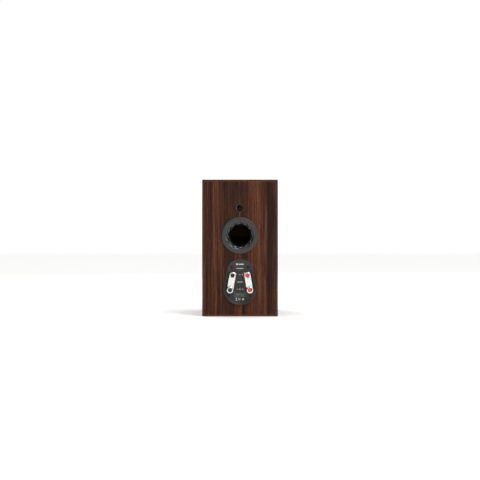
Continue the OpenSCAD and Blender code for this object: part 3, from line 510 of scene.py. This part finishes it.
def wireJacket(name, left, right):
    # soft PVC insulation: black on the +X side and red on the -X side, with a dull, slightly dusty sheen
    material, tree, shader, place = newFinish(name, {"Specular IOR Level": 0.4})
    side = addNode(tree, "Math", {"operation": "GREATER_THAN"}, {
        0: addNode(tree, "SeparateXYZ", inputs={"Vector": place}).outputs["X"], 1: 0.0})
    dust = addNode(tree, "TexNoise", inputs={
        "Vector": place, "Scale": perMetre(3), "Detail": 5}).outputs["Fac"]
    tint = addNode(tree, "Mix", asColour, {
        0: side.outputs[0], 6: hexToLinear(right), 7: hexToLinear(left)})
    rough = addNode(tree, "MapRange", inputs={"Value": dust, "To Min": 0.3, "To Max": 0.6})
    bump = addNode(tree, "Bump", inputs={"Height": dust, "Strength": 0.2, "Distance": 0.05 * mm})
    connect(tree, shader, tint.outputs[2], bump, rough.outputs["Result"])
    return material


wooferCentre = centreOf("woofer_trim_ring")
tweeterCentre = centreOf("tweeter_faceplate")
portCentre = centreOf("port_flange")
finishes = {
    "sides": walnutVeneer("WalnutVeneerSides"),
    "ends": walnutVeneer("WalnutVeneerEnds", along="X"),
    "rear": walnutVeneer("WalnutVeneerRear", figureAndEdgeHighlight=True),
    "board": fibreBoard("BareFibreboard"),
    "pad": feltFibre("BondedFibrePad"),
    "port": mouldedPlastic("MouldedAbsGrey", "#202020", "#272727", 0.48, 0.5, 0.05, 0.65,
                           (portCentre, 30.4, 0.19)),
    "portInside": mouldedPlastic("MouldedAbsBlack", "#0d0d0e", "#121213", 0.5, 0.5, 0.05),
    "terminal": mouldedPlastic("MouldedNylonGrey", "#272625", "#2f2e2d", 0.42, 0.45, 0.08, 0.45),
    "collar": mouldedPlastic("MouldedNylonBlack", "#101010", "#191919", 0.4, 0.4, 0.03),
    "capBlack": mouldedPlastic("PolishedAbsBlack", "#050505", "#0a0a0a", 0.14, 2, 0.01, 0.5),
    "capRed": mouldedPlastic("PolishedAbsRed", "#f0202c", "#e31824", 0.2, 2, 0.01, 0.5),
    "faceplate": mouldedPlastic("MouldedAbsSatinBlack", "#161617", "#1d1d1e", 0.42, 0.45, 0.04),
    "rubber": mouldedPlastic("ButylRubber", "#141414", "#1c1c1c", 0.55, 0.9, 0.05, 0.4),
    "powder": mouldedPlastic("PowderCoatBlack", "#1a1a1b", "#242425", 0.5, 0.3, 0.06),
    "print": mouldedPlastic("ScreenPrintInk", "#d2d2cf", "#b9b9b6", 0.6, 0.4, 0.01),
    "faintPrint": mouldedPlastic("FaintScreenPrintInk", "#7d7d7a", "#6d6d6a", 0.6, 0.4, 0.01),
    "foam": mouldedPlastic("ClosedCellFoam", "#1b1b1c", "#252526", 0.9, 0.6, 0.25, 0.15),
    "ferrite": mouldedPlastic("SinteredFerrite", "#232427", "#2f3034", 0.6, 0.7, 0.08, 0.45),
    "laminate": mouldedPlastic("SolderMaskGreen", "#0f4a2a", "#145533", 0.35, 1.5, 0.03, 0.5),
    "film": mouldedPlastic("WrappedPolyesterFilm", "#1f4f9a", "#2a5fb0", 0.25, 2.5, 0.03, 0.5),
    "cement": mouldedPlastic("ResistorCement", "#d7d2c4", "#c6c0af", 0.85, 0.5, 0.15, 0.2),
    "nylon": mouldedPlastic("NaturalNylon", "#e4e1d6", "#d9d5c8", 0.45, 0.8, 0.03),
    "jacket": wireJacket("PvcWireJacket", "#0c0c0d", "#a8121b"),
    "spider": wovenCloth("ResinedCotton", "#b5883c", "#6e4f1f", 0.6),
    "winding": woundCopper("EnamelledCopperWinding", 0.9),
    "voiceCoil": woundCopper("VoiceCoilWinding", 0.25, "Y"),
    "nickel": platedMetal("BrightNickelPlate", "#e2e0dc", "#cfccc7", 0.2),
    "tin": platedMetal("TinnedCopper", "#cfcac0", "#a99e8b", 0.3, 6),
    "zinc": platedMetal("ZincPlatedSteel", "#a9abad", "#8f9193", 0.32),
    "darkZinc": platedMetal("BlackZincPlate", "#3c3c3c", "#2c2c2c", 0.35, 6),
    "greyZinc": platedMetal("GreyZincPlate", "#6a6a68", "#565654", 0.5, 6),
    "blackOxide": platedMetal("BlackOxideSteel", "#1e1e20", "#18181a", 0.18),
    "cone": spunAluminium("AnodisedConeAlloy", "#b3b4b6", "#98999c", 0.36, wooferCentre, 0.6),
    "dome": spunAluminium("AnodisedDomeAlloy", "#c2b08c", "#a8966f", 0.28, tweeterCentre, 0.3),
}

print("stage: cabinet")

for node, finish in (("left_side", "sides"), ("right_side", "sides"), ("top_board", "ends"),
                     ("bottom_board", "ends"), ("rear_panel", "rear"), ("front_baffle", "sides")):
    dress(node, finish, 0.35)

print("stage: reflex port")

port = {"bore": 22, "flare": 11, "proud": 3, "depth": 14, "wall": 3, "spigot": 32, "flange": 40, "roll": 2,
        "scallops": 12, "scallopDepth": 2.6, "swirl": 16, "scallopTop": 30.2, "scallopStart": 1.0,
        "scallopFoot": 24.0, "scallopWidth": 0.74, "scallopCurve": 1.1}


def scalloped(radius, height, angle):
    # cuts spoon-shaped scallops in the flare: a steep curved end, then a floor that twists and runs out
    if not port["scallopFoot"] < radius < port["scallopTop"] or height < -port["depth"]:
        return radius, height
    down = (port["scallopTop"] - radius) / (port["scallopTop"] - port["scallopFoot"])
    turns = (angle + math.radians(port["swirl"]) * down) * port["scallops"] / (2 * math.pi)
    across = abs(2 * (turns - math.floor(turns + 0.5))) / port["scallopWidth"]
    start = (port["scallopTop"] - radius) / port["scallopStart"] - port["scallopCurve"] * across ** 2
    start = min(max(start, 0), 1)
    floorLength = port["scallopTop"] - port["scallopStart"] - port["scallopFoot"]
    runOut = min(1, (radius - port["scallopFoot"]) / floorLength)
    sink = port["scallopDepth"] * start * start * (3 - 2 * start) * max(0, 1 - across ** 4) * runOut
    return radius, height - sink


def flarePoints(width, height, count):
    # a quarter of an ellipse, from the flange's face down to the bore
    return [(port["bore"] + port["flare"] - width * math.sin(t), height * math.cos(t) - port["depth"])
            for t in [math.pi / 2 * i / count for i in range(count + 1)]]


inner = flarePoints(port["flare"], port["depth"] + port["proud"], 56)
outer = flarePoints(port["flare"] - port["wall"], port["depth"], 16)
roll = port["roll"]
portProfile = (inner + [(port["bore"], -port["spigot"]), (port["bore"] + port["wall"], -port["spigot"])]
               + outer[::-1] + [(port["flange"], 0)]
               + arcPoints(port["flange"] - roll, port["proud"] - roll, roll, 0, 90, 6))
flange = turned("PortFlange", portProfile, portCentre, rearY, 1, finishes["port"], 240, scalloped, sharp=40)
fit(flange, "cabinet", "port_plastic", "port_flange")
dress("port_tube", "portInside")

print("stage: tie bolt")

dress("tie_bolt", "blackOxide")
dress("tie_bolt_washer", "greyZinc", 0.15)

print("stage: terminal panel")

panel = {"width": 72, "height": 100.3, "cornerRadius": 22, "cornerX": 5.65, "cornerDrop": 22.91,
         "seat": 0.8, "rim": 3.6, "floor": 2.6, "rimWidth": 2.6, "postHole": 4.1,
         "screws": [(17.4, 17), (23.7, 79.6)], "screwHole": 1.7, "screwHead": 3.5, "screwDepth": 1.2,
         "chamfer": 0.25}
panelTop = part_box("terminal_panel")[1].z


def eggHalf(inset, fine=3):
    # the right half of the panel's outline: a flat top arc, a corner arc and the large lower circle
    lowRadius = panel["width"] / 2
    lowY = lowRadius - panel["height"]
    cornerX, cornerY, cornerR = panel["cornerX"], -panel["cornerDrop"], panel["cornerRadius"]
    topR = (cornerR ** 2 - cornerX ** 2 - cornerY ** 2) / (2 * (cornerR + cornerY))
    topTurn = math.degrees(math.atan2(cornerY + topR, cornerX))
    away = Vector((-cornerX, lowY - cornerY))
    sideTurn = math.degrees(math.atan2(away.y, away.x) + math.acos((cornerR - lowRadius) / away.length))
    return (arcPoints(0, -topR, topR - inset, 90, topTurn, 5 * fine)
            + arcPoints(cornerX, cornerY, cornerR - inset, topTurn - 2, sideTurn, 10 * fine)
            + arcPoints(0, lowY, lowRadius - inset, sideTurn - 2, -90, 14 * fine))


def egg(inset):
    half = eggHalf(inset)
    return half + [(-x, z) for x, z in half[-2:0:-1]]


def ringOf(mesh, outline, out):
    return [mesh.verts.new((x * mm, rearY + out * mm, panelTop + z * mm)) for x, z in outline]


def bridge(mesh, one, two):
    for i in range(len(one)):
        j = (i + 1) % len(one)
        mesh.faces.new((one[i], one[j], two[j], two[i]))


posts = {name: centreOf("knob_" + name) for name in ("hf_neg", "hf_pos", "lf_neg", "lf_pos")}
screwHoles = [(x * side, drop) for x, drop in panel["screws"] for side in (1, -1)]
rim, rimWidth = panel["rim"], panel["rimWidth"]
rimPoints = [(0, panel["seat"]), (0, rim - 1.1), (0.12, rim - 0.6), (0.45, rim - 0.2), (1.0, rim),
             (rimWidth - 0.6, rim), (rimWidth - 0.25, rim - 0.12), (rimWidth, rim - 0.4),
             (rimWidth + 0.05, panel["floor"] + 0.2), (rimWidth + 0.3, panel["floor"])]
panelMesh = bmesh.new()
rings = [ringOf(panelMesh, egg(inset), out) for inset, out in rimPoints]
for one, two in zip(rings, rings[1:]):
    bridge(panelMesh, one, two)


def circleLoop(mesh, x, drop, radius, out, count=40):
    angles = [2 * math.pi * i / count for i in range(count)]
    return ringOf(mesh, [(x + radius * math.cos(a), radius * math.sin(a) - drop) for a in angles], out)


def loopEdges(mesh, loop):
    pairs = zip(loop, loop[1:] + loop[:1])
    return [mesh.edges.get(pair) or mesh.edges.new(pair) for pair in pairs]


floorLoops = [rings[-1]]
backLoops = [rings[0]]
for centre in posts.values():
    x, drop = centre.x / mm, (panelTop - centre.z) / mm
    top = circleLoop(panelMesh, x, drop, panel["postHole"], panel["floor"])
    foot = circleLoop(panelMesh, x, drop, panel["postHole"], panel["seat"])
    bridge(panelMesh, top, foot)
    floorLoops.append(top)
    backLoops.append(foot)
for x, drop in screwHoles:
    levels = [circleLoop(panelMesh, x, drop, radius, out) for radius, out in (
        (panel["screwHead"] + panel["chamfer"], panel["floor"]),
        (panel["screwHead"], panel["floor"] - panel["chamfer"]),
        (panel["screwHead"], panel["floor"] - panel["screwDepth"]),
        (panel["screwHole"], panel["floor"] - panel["screwDepth"]), (panel["screwHole"], panel["seat"]))]
    for one, two in zip(levels, levels[1:]):
        bridge(panelMesh, one, two)
    floorLoops.append(levels[0])
    backLoops.append(levels[-1])
for loops in (floorLoops, backLoops):
    edges = [edge for loop in loops for edge in loopEdges(panelMesh, loop)]
    bmesh.ops.triangle_fill(panelMesh, use_beauty=True, edges=edges, normal=(0, 1, 0))
bmesh.ops.recalc_face_normals(panelMesh, faces=panelMesh.faces)
terminalPlate = toObject("TerminalPlate", panelMesh, finishes["terminal"], 40)
fit(terminalPlate, "cabinet", "terminal_plastic", "terminal_panel")
dress("terminal_screws", "darkZinc", 0.12)
dress("post_collars", "collar", 0.2)
dress("post_washers", "nickel", 0.12)
dress("post_nuts", "zinc", 0.2)
dress("solder_tags", "tin", 0.1)

print("stage: binding posts")

post = {"radius": 4, "pitch": 1, "thread": 0.42, "socket": 2.0, "leadIn": 2.3, "leadInDepth": 8, "length": 24,
        "foot": -12, "socketFloor": 4, "plainEnd": 0.6, "step": 0.125}


def threaded(radius, height, angle):
    # a 60 degree thread cut into the rod: the groove winds once round for each pitch
    threads = post["foot"] + post["plainEnd"] <= height <= post["length"] - post["plainEnd"]
    if abs(radius - post["radius"]) > 0.01 or not threads:
        return radius, height
    phase = height / post["pitch"] - angle / (2 * math.pi)
    return radius - post["thread"] * (1 - abs(2 * (phase - math.floor(phase)) - 1)), height


studMesh = bmesh.new()
rod, leadIn, end = post["radius"], post["leadIn"], post["length"]
socket, leadInFoot = post["socket"], end - post["leadInDepth"]
rodSteps = int((end - post["foot"] - 0.8) / post["step"])
rodHeights = [post["foot"] + 0.4 + post["step"] * i for i in range(rodSteps + 1)]
studProfile = ([(0, post["foot"]), (rod - 0.4, post["foot"])] + [(rod, height) for height in rodHeights]
               + [(rod - 0.5, end), (leadIn + 0.3, end), (leadIn, end - 0.3), (leadIn, leadInFoot),
                  (socket, leadInFoot), (socket, post["socketFloor"]), (0, post["socketFloor"])])
for centre in posts.values():
    turn(studMesh, studProfile, centre, rearY, 1, 32, threaded, loop=False)
bmesh.ops.remove_doubles(studMesh, verts=studMesh.verts, dist=1e-7)
bmesh.ops.recalc_face_normals(studMesh, faces=studMesh.faces)
fit(toObject("ThreadedPosts", studMesh, finishes["nickel"], 40), "cabinet", "nickel_plate", "post_studs")

knob = {"radius": 7.1, "bore": 4.4, "ribs": 40, "ribDepth": 0.28, "length": 15, "low": 10, "gripLow": 2.2,
        "gripHigh": 12.6}


def knurled(radius, height, angle):
    # straight knurling, rolled into the grip only
    grip = knob["low"] + knob["gripLow"] < height < knob["low"] + knob["gripHigh"]
    if radius < knob["radius"] - 0.05 or not grip:
        return radius, height
    return radius - knob["ribDepth"] * (0.5 + 0.5 * math.cos(angle * knob["ribs"])), height


low, high = knob["low"], knob["low"] + knob["length"]
gripLow, gripHigh = low + knob["gripLow"], low + knob["gripHigh"]
grip, bore = knob["radius"], knob["bore"]
neck = grip - 0.35
knobProfile = ([(bore, low), (grip - 0.5, low), (grip - 0.12, low + 0.15), (grip, low + 0.5),
                (grip, gripLow - 0.5), (neck, gripLow - 0.3), (neck, gripLow - 0.1), (grip, gripLow + 0.05)]
               + [(grip, gripLow + 0.1 + (gripHigh - gripLow - 0.2) * i / 6) for i in range(7)]
               + [(neck, gripHigh + 0.1), (neck, gripHigh + 0.3), (grip, gripHigh + 0.5), (grip, high - 0.9),
                  (grip - 0.25, high - 0.35), (grip - 0.8, high - 0.06), (grip - 1.1, high),
                  (bore + 0.35, high), (bore, high - 0.3)])
for name, centre in posts.items():
    piece = turned("Knob_" + name, knobProfile, centre, rearY, 1, finishes["nickel"],
                   4 * knob["ribs"], knurled)
    fit(piece, "knob_" + name, "nickel_plate", "knob_" + name)
    dress("clamp_ring_" + name, "nickel", 0.15)

cap = {"radius": 3.65, "low": 24, "head": 1.6, "stub": 2.25, "stubLength": 7, "dishRadius": 3.9,
       "dishCentre": 3.2, "round": 0.45}
capTop = cap["low"] + cap["head"]
dishEdge = math.sqrt(cap["dishRadius"] ** 2 - cap["dishCentre"] ** 2)
dish = [(across, capTop + cap["dishCentre"] - math.sqrt(cap["dishRadius"] ** 2 - across ** 2))
        for across in [dishEdge * i / 8 for i in range(9)]]
low, foot = cap["low"], cap["low"] - cap["stubLength"]
capProfile = ([(0, foot), (cap["stub"] - 0.3, foot), (cap["stub"], foot + 0.4), (cap["stub"], low),
               (cap["radius"] - 0.1, low), (cap["radius"], low + 0.1)]
              + arcPoints(cap["radius"] - cap["round"], capTop - cap["round"], cap["round"], 0, 90, 6)
              + dish[::-1])
for name, centre in posts.items():
    red = name.endswith("pos")
    piece = turned("PlugCap_" + name, capProfile, centre, rearY, 1, finishes["capRed" if red else "capBlack"],
                   64, loop=False)
    fit(piece, "cap_" + name, "red_cap" if red else "black_cap", "plug_cap_" + name)

print("stage: jumper links")

for side in ("neg", "pos"):
    dress("jumper_link_" + side, "nickel", 0.22)

print("stage: printed marks")

# generic marks only: bars, a plus, a minus and plain shapes, as (x, drop, width, height), seen from behind
marks = {"thickness": 0.05, "bright": [
    (6.6, 11.3, 3.4, 3.4), (-2.6, 11.3, 11.6, 2.0), (0.2, 20.4, 15.0, 1.1), (0.5, 34, 3.0, 1.2),
    (-5.4, 34, 1.0, 3.0), (0, 49.9, 12.6, 1.2), (6.0, 65.6, 2.4, 0.8), (0.2, 65.6, 2.0, 2.0),
    (-5.9, 65.6, 2.4, 0.8), (-5.9, 64.8, 0.8, 0.8), (-5.9, 66.4, 0.8, 0.8), (8.0, 87.5, 0.9, 4.4),
    (8.0, 84.9, 3.2, 0.8), (8.0, 90.1, 3.2, 0.8),
    (3.6, 87.5, 0.9, 4.2), (0.6, 87.5, 2.4, 2.4), (-6.8, 87.5, 3.8, 3.8)],
    "faint": [(0.4, 24.9, 1.6, 1.2), (0, 74.3, 25, 0.4), (0, 82.1, 25, 0.4), (12.3, 78.2, 0.4, 7.4),
              (-12.3, 78.2, 0.4, 7.4), (0.5, 76.4, 21, 0.7), (-0.5, 78.3, 19, 0.7), (1.0, 80.2, 20, 0.7)]}
for tone, ink in (("bright", "print"), ("faint", "faintPrint")):
    markMesh = bmesh.new()
    for x, drop, width, height in marks[tone]:
        corners = [(x + across * width / 2, up * height / 2 - drop)
                   for across, up in ((-1, -1), (1, -1), (1, 1), (-1, 1))]
        lowRing = ringOf(markMesh, corners, panel["floor"])
        highRing = ringOf(markMesh, corners, panel["floor"] + marks["thickness"])
        bridge(markMesh, lowRing, highRing)
        markMesh.faces.new(highRing)
        markMesh.faces.new(lowRing[::-1])
    bmesh.ops.recalc_face_normals(markMesh, faces=markMesh.faces)
    fit(toObject("PrintedMarks" + tone.title(), markMesh, finishes[ink]), "cabinet", "terminal_plastic")

print("stage: tweeter")


def driverPart(name, points, centre, finish, segments, shape=None, loop=True):
    # profiles of the drivers are in (radius, depth behind the baffle's face)
    profile = [(radius, -depth) for radius, depth in points]
    return turned(name, profile, centre, frontY, -1, finishes[finish], segments, shape, loop)


tweeter = {"radius": 49, "proud": 1.5, "back": 3, "edge": 1.2, "guide": 41, "guideDepth": 9.5, "throat": 17.2,
           "throatDepth": 8, "motor": 11.3, "chamber": 35.5, "seat": 14.9, "lip": 16.5, "sheet": 0.3,
           "groove": 44.5, "grooveDepth": 0.4}
guide, throat, proud = tweeter["guide"], tweeter["throat"], tweeter["proud"]
guideCurve = [(guide - (guide - throat) * i / 28, tweeter["guideDepth"] * (i / 28) ** 1.8 - proud)
              for i in range(29)]
groove = [(tweeter["groove"] + across, deep - proud) for across, deep in (
    (0.5, 0), (0.35, tweeter["grooveDepth"]), (-0.35, tweeter["grooveDepth"]), (-0.5, 0))]
edge, motor, chamber = tweeter["edge"], tweeter["motor"], tweeter["chamber"]
seat, seatFront, seatBack = tweeter["seat"], tweeter["throatDepth"] + 0.6, motor - tweeter["sheet"]
facePoints = ([(tweeter["radius"], tweeter["back"])]
              + arcPoints(tweeter["radius"] - edge, edge - proud, edge, 0, -90, 8) + groove + guideCurve
              + [(throat, seatFront), (seat, seatFront), (seat, seatBack), (tweeter["lip"], seatBack),
                 (tweeter["lip"], motor), (chamber, motor), (chamber, tweeter["back"])])
piece = driverPart("TweeterFaceplate", facePoints, tweeterCentre, "faceplate", 160)
fit(piece, "cabinet", "faceplate_plastic", "tweeter_faceplate")

grille = {"pitch": 1.9, "hole": 0.74, "sheet": 0.35, "base": 15.8, "rise": 5.6, "level": 8.0, "edge": 13.2,
          "reach": 14.2, "flange": 17.15, "flangeDepth": 8.55, "thickness": 0.5}


def domeDepth(radius, base, rise, level):
    # depth of a dome's face at that radius; its base is a circle at level
    ball = (base * base + rise * rise) / (2 * rise)
    return level - rise + ball - math.sqrt(ball * ball - radius * radius)


def grilleDepth(radius):
    return domeDepth(radius, grille["base"], grille["rise"], grille["level"])


def latticePoint(mesh, known, x, z):
    key = (round(x, 3), round(z, 3))
    if key not in known:
        deep = grilleDepth(min(math.hypot(x, z), grille["base"]))
        known[key] = mesh.verts.new((tweeterCentre.x + x * mm, frontY + (deep + grille["thickness"] / 2) * mm,
                                     tweeterCentre.z + z * mm))
    return known[key]


latticeMesh = bmesh.new()
known = {}
corners = [math.radians(30 + 60 * k) for k in range(6)]
rows = int(grille["reach"] / grille["pitch"] / 0.866) + 1
for row in range(-rows, rows + 1):
    for column in range(-rows - 1, rows + 2):
        x = (column + (row % 2) / 2) * grille["pitch"]
        z = row * grille["pitch"] * math.sqrt(3) / 2
        if math.hypot(x, z) > grille["reach"]:
            continue
        wide = grille["pitch"] / math.sqrt(3)
        hexagons = [[latticePoint(latticeMesh, known, x + reach * math.cos(a), z + reach * math.sin(a))
                     for a in corners] for reach in (wide, wide * grille["hole"])]
        bridge(latticeMesh, *hexagons)
bmesh.ops.recalc_face_normals(latticeMesh, faces=latticeMesh.faces)
lattice = toObject("GrilleLattice", latticeMesh, finishes["powder"])
solid = lattice.modifiers.new("SheetThickness", "SOLIDIFY")
solid.thickness = grille["sheet"] * mm
solid.offset = 0
lattice.modifiers.new("RoundHoles", "SUBSURF").levels = 1
lattice.modifiers["RoundHoles"].render_levels = 1
fit(lattice, "cabinet", "mesh_steel", "tweeter_mesh")
rimFront = [grille["edge"] + (grille["base"] - grille["edge"]) * i / 6 for i in range(7)]
rimBack = [grille["edge"] + (grille["base"] - 0.7 - grille["edge"]) * i / 6 for i in range(7)]
rimPoints = ([(r, grilleDepth(r)) for r in rimFront]
             + [(grille["flange"], grille["level"]), (grille["flange"], grille["flangeDepth"])]
             + [(r, min(grilleDepth(r) + grille["thickness"], grille["flangeDepth"])) for r in rimBack[::-1]])
piece = driverPart("GrilleRim", rimPoints, tweeterCentre, "powder", 96)
fit(piece, "cabinet", "mesh_steel", "tweeter_mesh")


def domeShell(base, rise, thickness, level, count=14):
    front = [(base * i / count, domeDepth(base * i / count, base, rise, level)) for i in range(count + 1)]
    inside = base - 1.3 * thickness
    back = [(inside * i / count, domeDepth(inside * i / count, inside, rise - thickness, level))
            for i in range(count, -1, -1)]
    return front + back


dome = {"radius": 12.7, "rise": 4.4, "thickness": 0.25, "level": 11.3}
domePoints = domeShell(dome["radius"], dome["rise"], dome["thickness"], dome["level"])
piece = driverPart("TweeterDome", domePoints, tweeterCentre, "dome", 96, loop=False)
fit(piece, "tweeter_diaphragm", "dome_alloy", "tweeter_dome")


def flexible(piece, node):
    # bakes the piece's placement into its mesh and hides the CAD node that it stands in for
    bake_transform(piece)
    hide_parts(node)


def halfRoll(sizes, count):
    # the section of a surround: a half round of thin sheet between two flat glued lips
    middle, radius, thickness = sizes["middle"], sizes["radius"], sizes["thickness"]
    seat, level = sizes["seat"], sizes["level"]
    return ([(sizes["inner"], level), (sizes["inner"], seat)]
            + arcPoints(middle, seat, radius, 180, 360, count)
            + [(sizes["outer"], seat), (sizes["outer"], level), (middle + radius - thickness, level)]
            + arcPoints(middle, seat, radius - thickness, 360, 180, count)
            + [(middle - radius + thickness, level)])


domeEdge = {"inner": 12.75, "outer": 16.4, "middle": 13.75, "radius": 0.95, "thickness": 0.3, "seat": 11,
            "level": 11.3, "flexFrom": 12.8, "flexTo": 14.7}
edgePoints = halfRoll(domeEdge, 14)
piece = driverPart("TweeterSurround", edgePoints, tweeterCentre, "rubber", 96)
flexible(piece, "tweeter_surround")

dress("tweeter_voice_coil", "voiceCoil")
dress("tweeter_pole_plate", "zinc", 0.2)
dress("tweeter_magnet", "nickel", 0.2)
dress("tweeter_cup", "zinc", 0.4)
dress("tweeter_rear_chamber", "powder", 0.4)

print("stage: woofer")

woofer = {"cone": 52.3, "coneLip": 49.5, "neck": 15.45, "level": 1.3, "depth": 22, "flare": 1.35,
          "thickness": 1, "dimple": 1.9, "dimpleDepth": 0.45,
          "dimpleRings": [(45.2, 36), (39.6, 36), (34.0, 36), (28.4, 24)],  # radius and how many
          "capShare": 0.86, "capRise": 6.5, "capThickness": 0.5}


def conePoint(share):
    return (woofer["coneLip"] - (woofer["coneLip"] - woofer["neck"]) * share,
            woofer["level"] + woofer["depth"] * (1 - (1 - share) ** woofer["flare"]))


def dimpled(radius, height, angle):
    # pressed dimples that stiffen the cone: each ring is offset by half a step from the next
    sink = 0
    for number, (ringRadius, count) in enumerate(woofer["dimpleRings"]):
        step = 2 * math.pi / count
        turns = (angle + step * (number % 2) / 2) / step
        across = (turns - math.floor(turns) - 0.5) * step * ringRadius
        away = math.hypot(across, radius - ringRadius) / woofer["dimple"]
        if away < 1:
            sink = woofer["dimpleDepth"] * (1 - away * away) ** 2
    return radius, height - sink


count = 64
frontCurve = [conePoint(i / count) for i in range(count + 1)]
conePoints = ([(woofer["cone"], woofer["level"])] + frontCurve
              + [(r, depth + woofer["thickness"]) for r, depth in frontCurve[::-1]]
              + [(woofer["cone"], woofer["level"] + woofer["thickness"])])
piece = driverPart("WooferCone", conePoints, wooferCentre, "cone", 288, dimpled)
fit(piece, "woofer_diaphragm", "cone_alloy", "woofer_cone")
capBase, capLevel = conePoint(woofer["capShare"])
capPoints = domeShell(capBase, woofer["capRise"], woofer["capThickness"], capLevel - 0.02)
piece = driverPart("WooferDustCap", capPoints, wooferCentre, "cone", 128, loop=False)
fit(piece, "woofer_diaphragm", "cone_alloy", "woofer_dust_cap")

coneEdge = {"inner": 49.5, "outer": 66, "middle": 57, "radius": 4.5, "thickness": 0.6, "seat": 0.7,
            "level": 1.3, "flexFrom": 52.4, "flexTo": 61.5}
rollPoints = halfRoll(coneEdge, 28)
piece = driverPart("WooferSurround", rollPoints, wooferCentre, "rubber", 160)
flexible(piece, "woofer_surround")

spider = {"inner": 15.45, "waveFrom": 19.4, "waveTo": 42, "outer": 48, "level": 31.3, "thickness": 0.5,
          "waves": 4, "height": 1.3}
waveFrom, waveTo, turns = spider["waveFrom"], spider["waveTo"], 2 * math.pi * spider["waves"]
waveLine = [(waveFrom + (waveTo - waveFrom) * i / 80,
             spider["level"] - spider["height"] * math.sin(turns * i / 80)) for i in range(81)]
line = [(spider["inner"], spider["level"])] + waveLine + [(spider["outer"], spider["level"])]
spiderPoints = line + [(r, depth + spider["thickness"]) for r, depth in line[::-1]]
piece = driverPart("WooferSpider", spiderPoints, wooferCentre, "spider", 128)
flexible(piece, "woofer_spider")

trim = {"inner": 61.8, "outer": 73, "seat": 0.7, "proud": 2.5, "innerRound": 1.5, "outerRound": 2.2,
        "line": 66.4}
inner, outer, face = trim["inner"], trim["outer"], -trim["proud"]
innerRound, outerRound, line = trim["innerRound"], trim["outerRound"], trim["line"]
trimPoints = ([(inner, trim["seat"])]
              + arcPoints(inner + innerRound, innerRound + face, innerRound, 180, 265, 8)
              + [(line - 0.45, face), (line - 0.3, face + 0.3), (line + 0.3, face + 0.3), (line + 0.45, face)]
              + arcPoints(outer - outerRound, outerRound + face, outerRound, 275, 360, 10)
              + [(outer, trim["seat"])])
piece = driverPart("WooferTrimRing", trimPoints, wooferCentre, "faceplate", 192)
fit(piece, "cabinet", "trim_plastic", "woofer_trim_ring")

dress("woofer_basket", "powder")
dress("woofer_screws", "blackOxide")
dress("woofer_voice_coil", "voiceCoil")
dress("woofer_front_plate", "zinc", 0.4)
dress("woofer_magnet", "ferrite", 0.6)
dress("woofer_yoke", "zinc", 0.4)

print("stage: inside the cabinet")

dress("window_brace", "board", 0.3)
dress("mounting_gaskets", "foam")
dress("driver_tags", "tin", 0.1)
dress("crossover_board", "laminate", 0.1)
dress("crossover_coils", "winding", 0.5)
dress("crossover_capacitors", "film", 0.8)
dress("crossover_resistors", "cement", 0.5)
dress("crossover_standoffs", "nylon", 0.3)
dress("wiring_loom", "jacket")

padding = {"round": 4.5, "cuts": 30, "lump": 1.4, "lumpSize": 26, "thickness": 12, "gap": 6, "topInset": 10,
           "fill": 0.55}


def fibrePad(name, low, high):
    # a cut piece of fibre with rounded, slightly uneven faces
    middle, half = (low + high) / 2, (high - low) / 2
    mesh = bmesh.new()
    bmesh.ops.create_cube(mesh, size=2)
    bmesh.ops.subdivide_edges(mesh, edges=mesh.edges, cuts=padding["cuts"], use_grid_fill=True)
    radius = padding["round"] * mm
    for vertex in mesh.verts:
        spot = Vector([vertex.co[i] * half[i] for i in range(3)])
        core = Vector([max(-half[i] + radius, min(half[i] - radius, spot[i])) for i in range(3)])
        away = spot - core
        lump = noise.noise((middle + spot) / (padding["lumpSize"] * mm)) * 0.5 + 0.5
        vertex.co = middle + core + away.normalized() * (radius - padding["lump"] * mm * lump)
    piece = toObject(name, mesh, finishes["pad"], 60)
    fit(piece, "cabinet", "pad_fibre", "damping_pads")


padLow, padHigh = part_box("damping_pads")
thick, topInset = padding["thickness"] * mm, padding["topInset"] * mm
sideTop = padHigh.z - thick - padding["gap"] * mm
fibrePad("FibrePadLeft", padLow, Vector((padLow.x + thick, padHigh.y, sideTop)))
fibrePad("FibrePadRight", Vector((padHigh.x - thick, padLow.y, padLow.z)),
         Vector((padHigh.x, padHigh.y, sideTop)))
fibrePad("FibrePadTop", Vector((padLow.x + topInset, padLow.y, padHigh.z - thick)),
         Vector((padHigh.x - topInset, padHigh.y, padHigh.z)))

print("stage: finish")
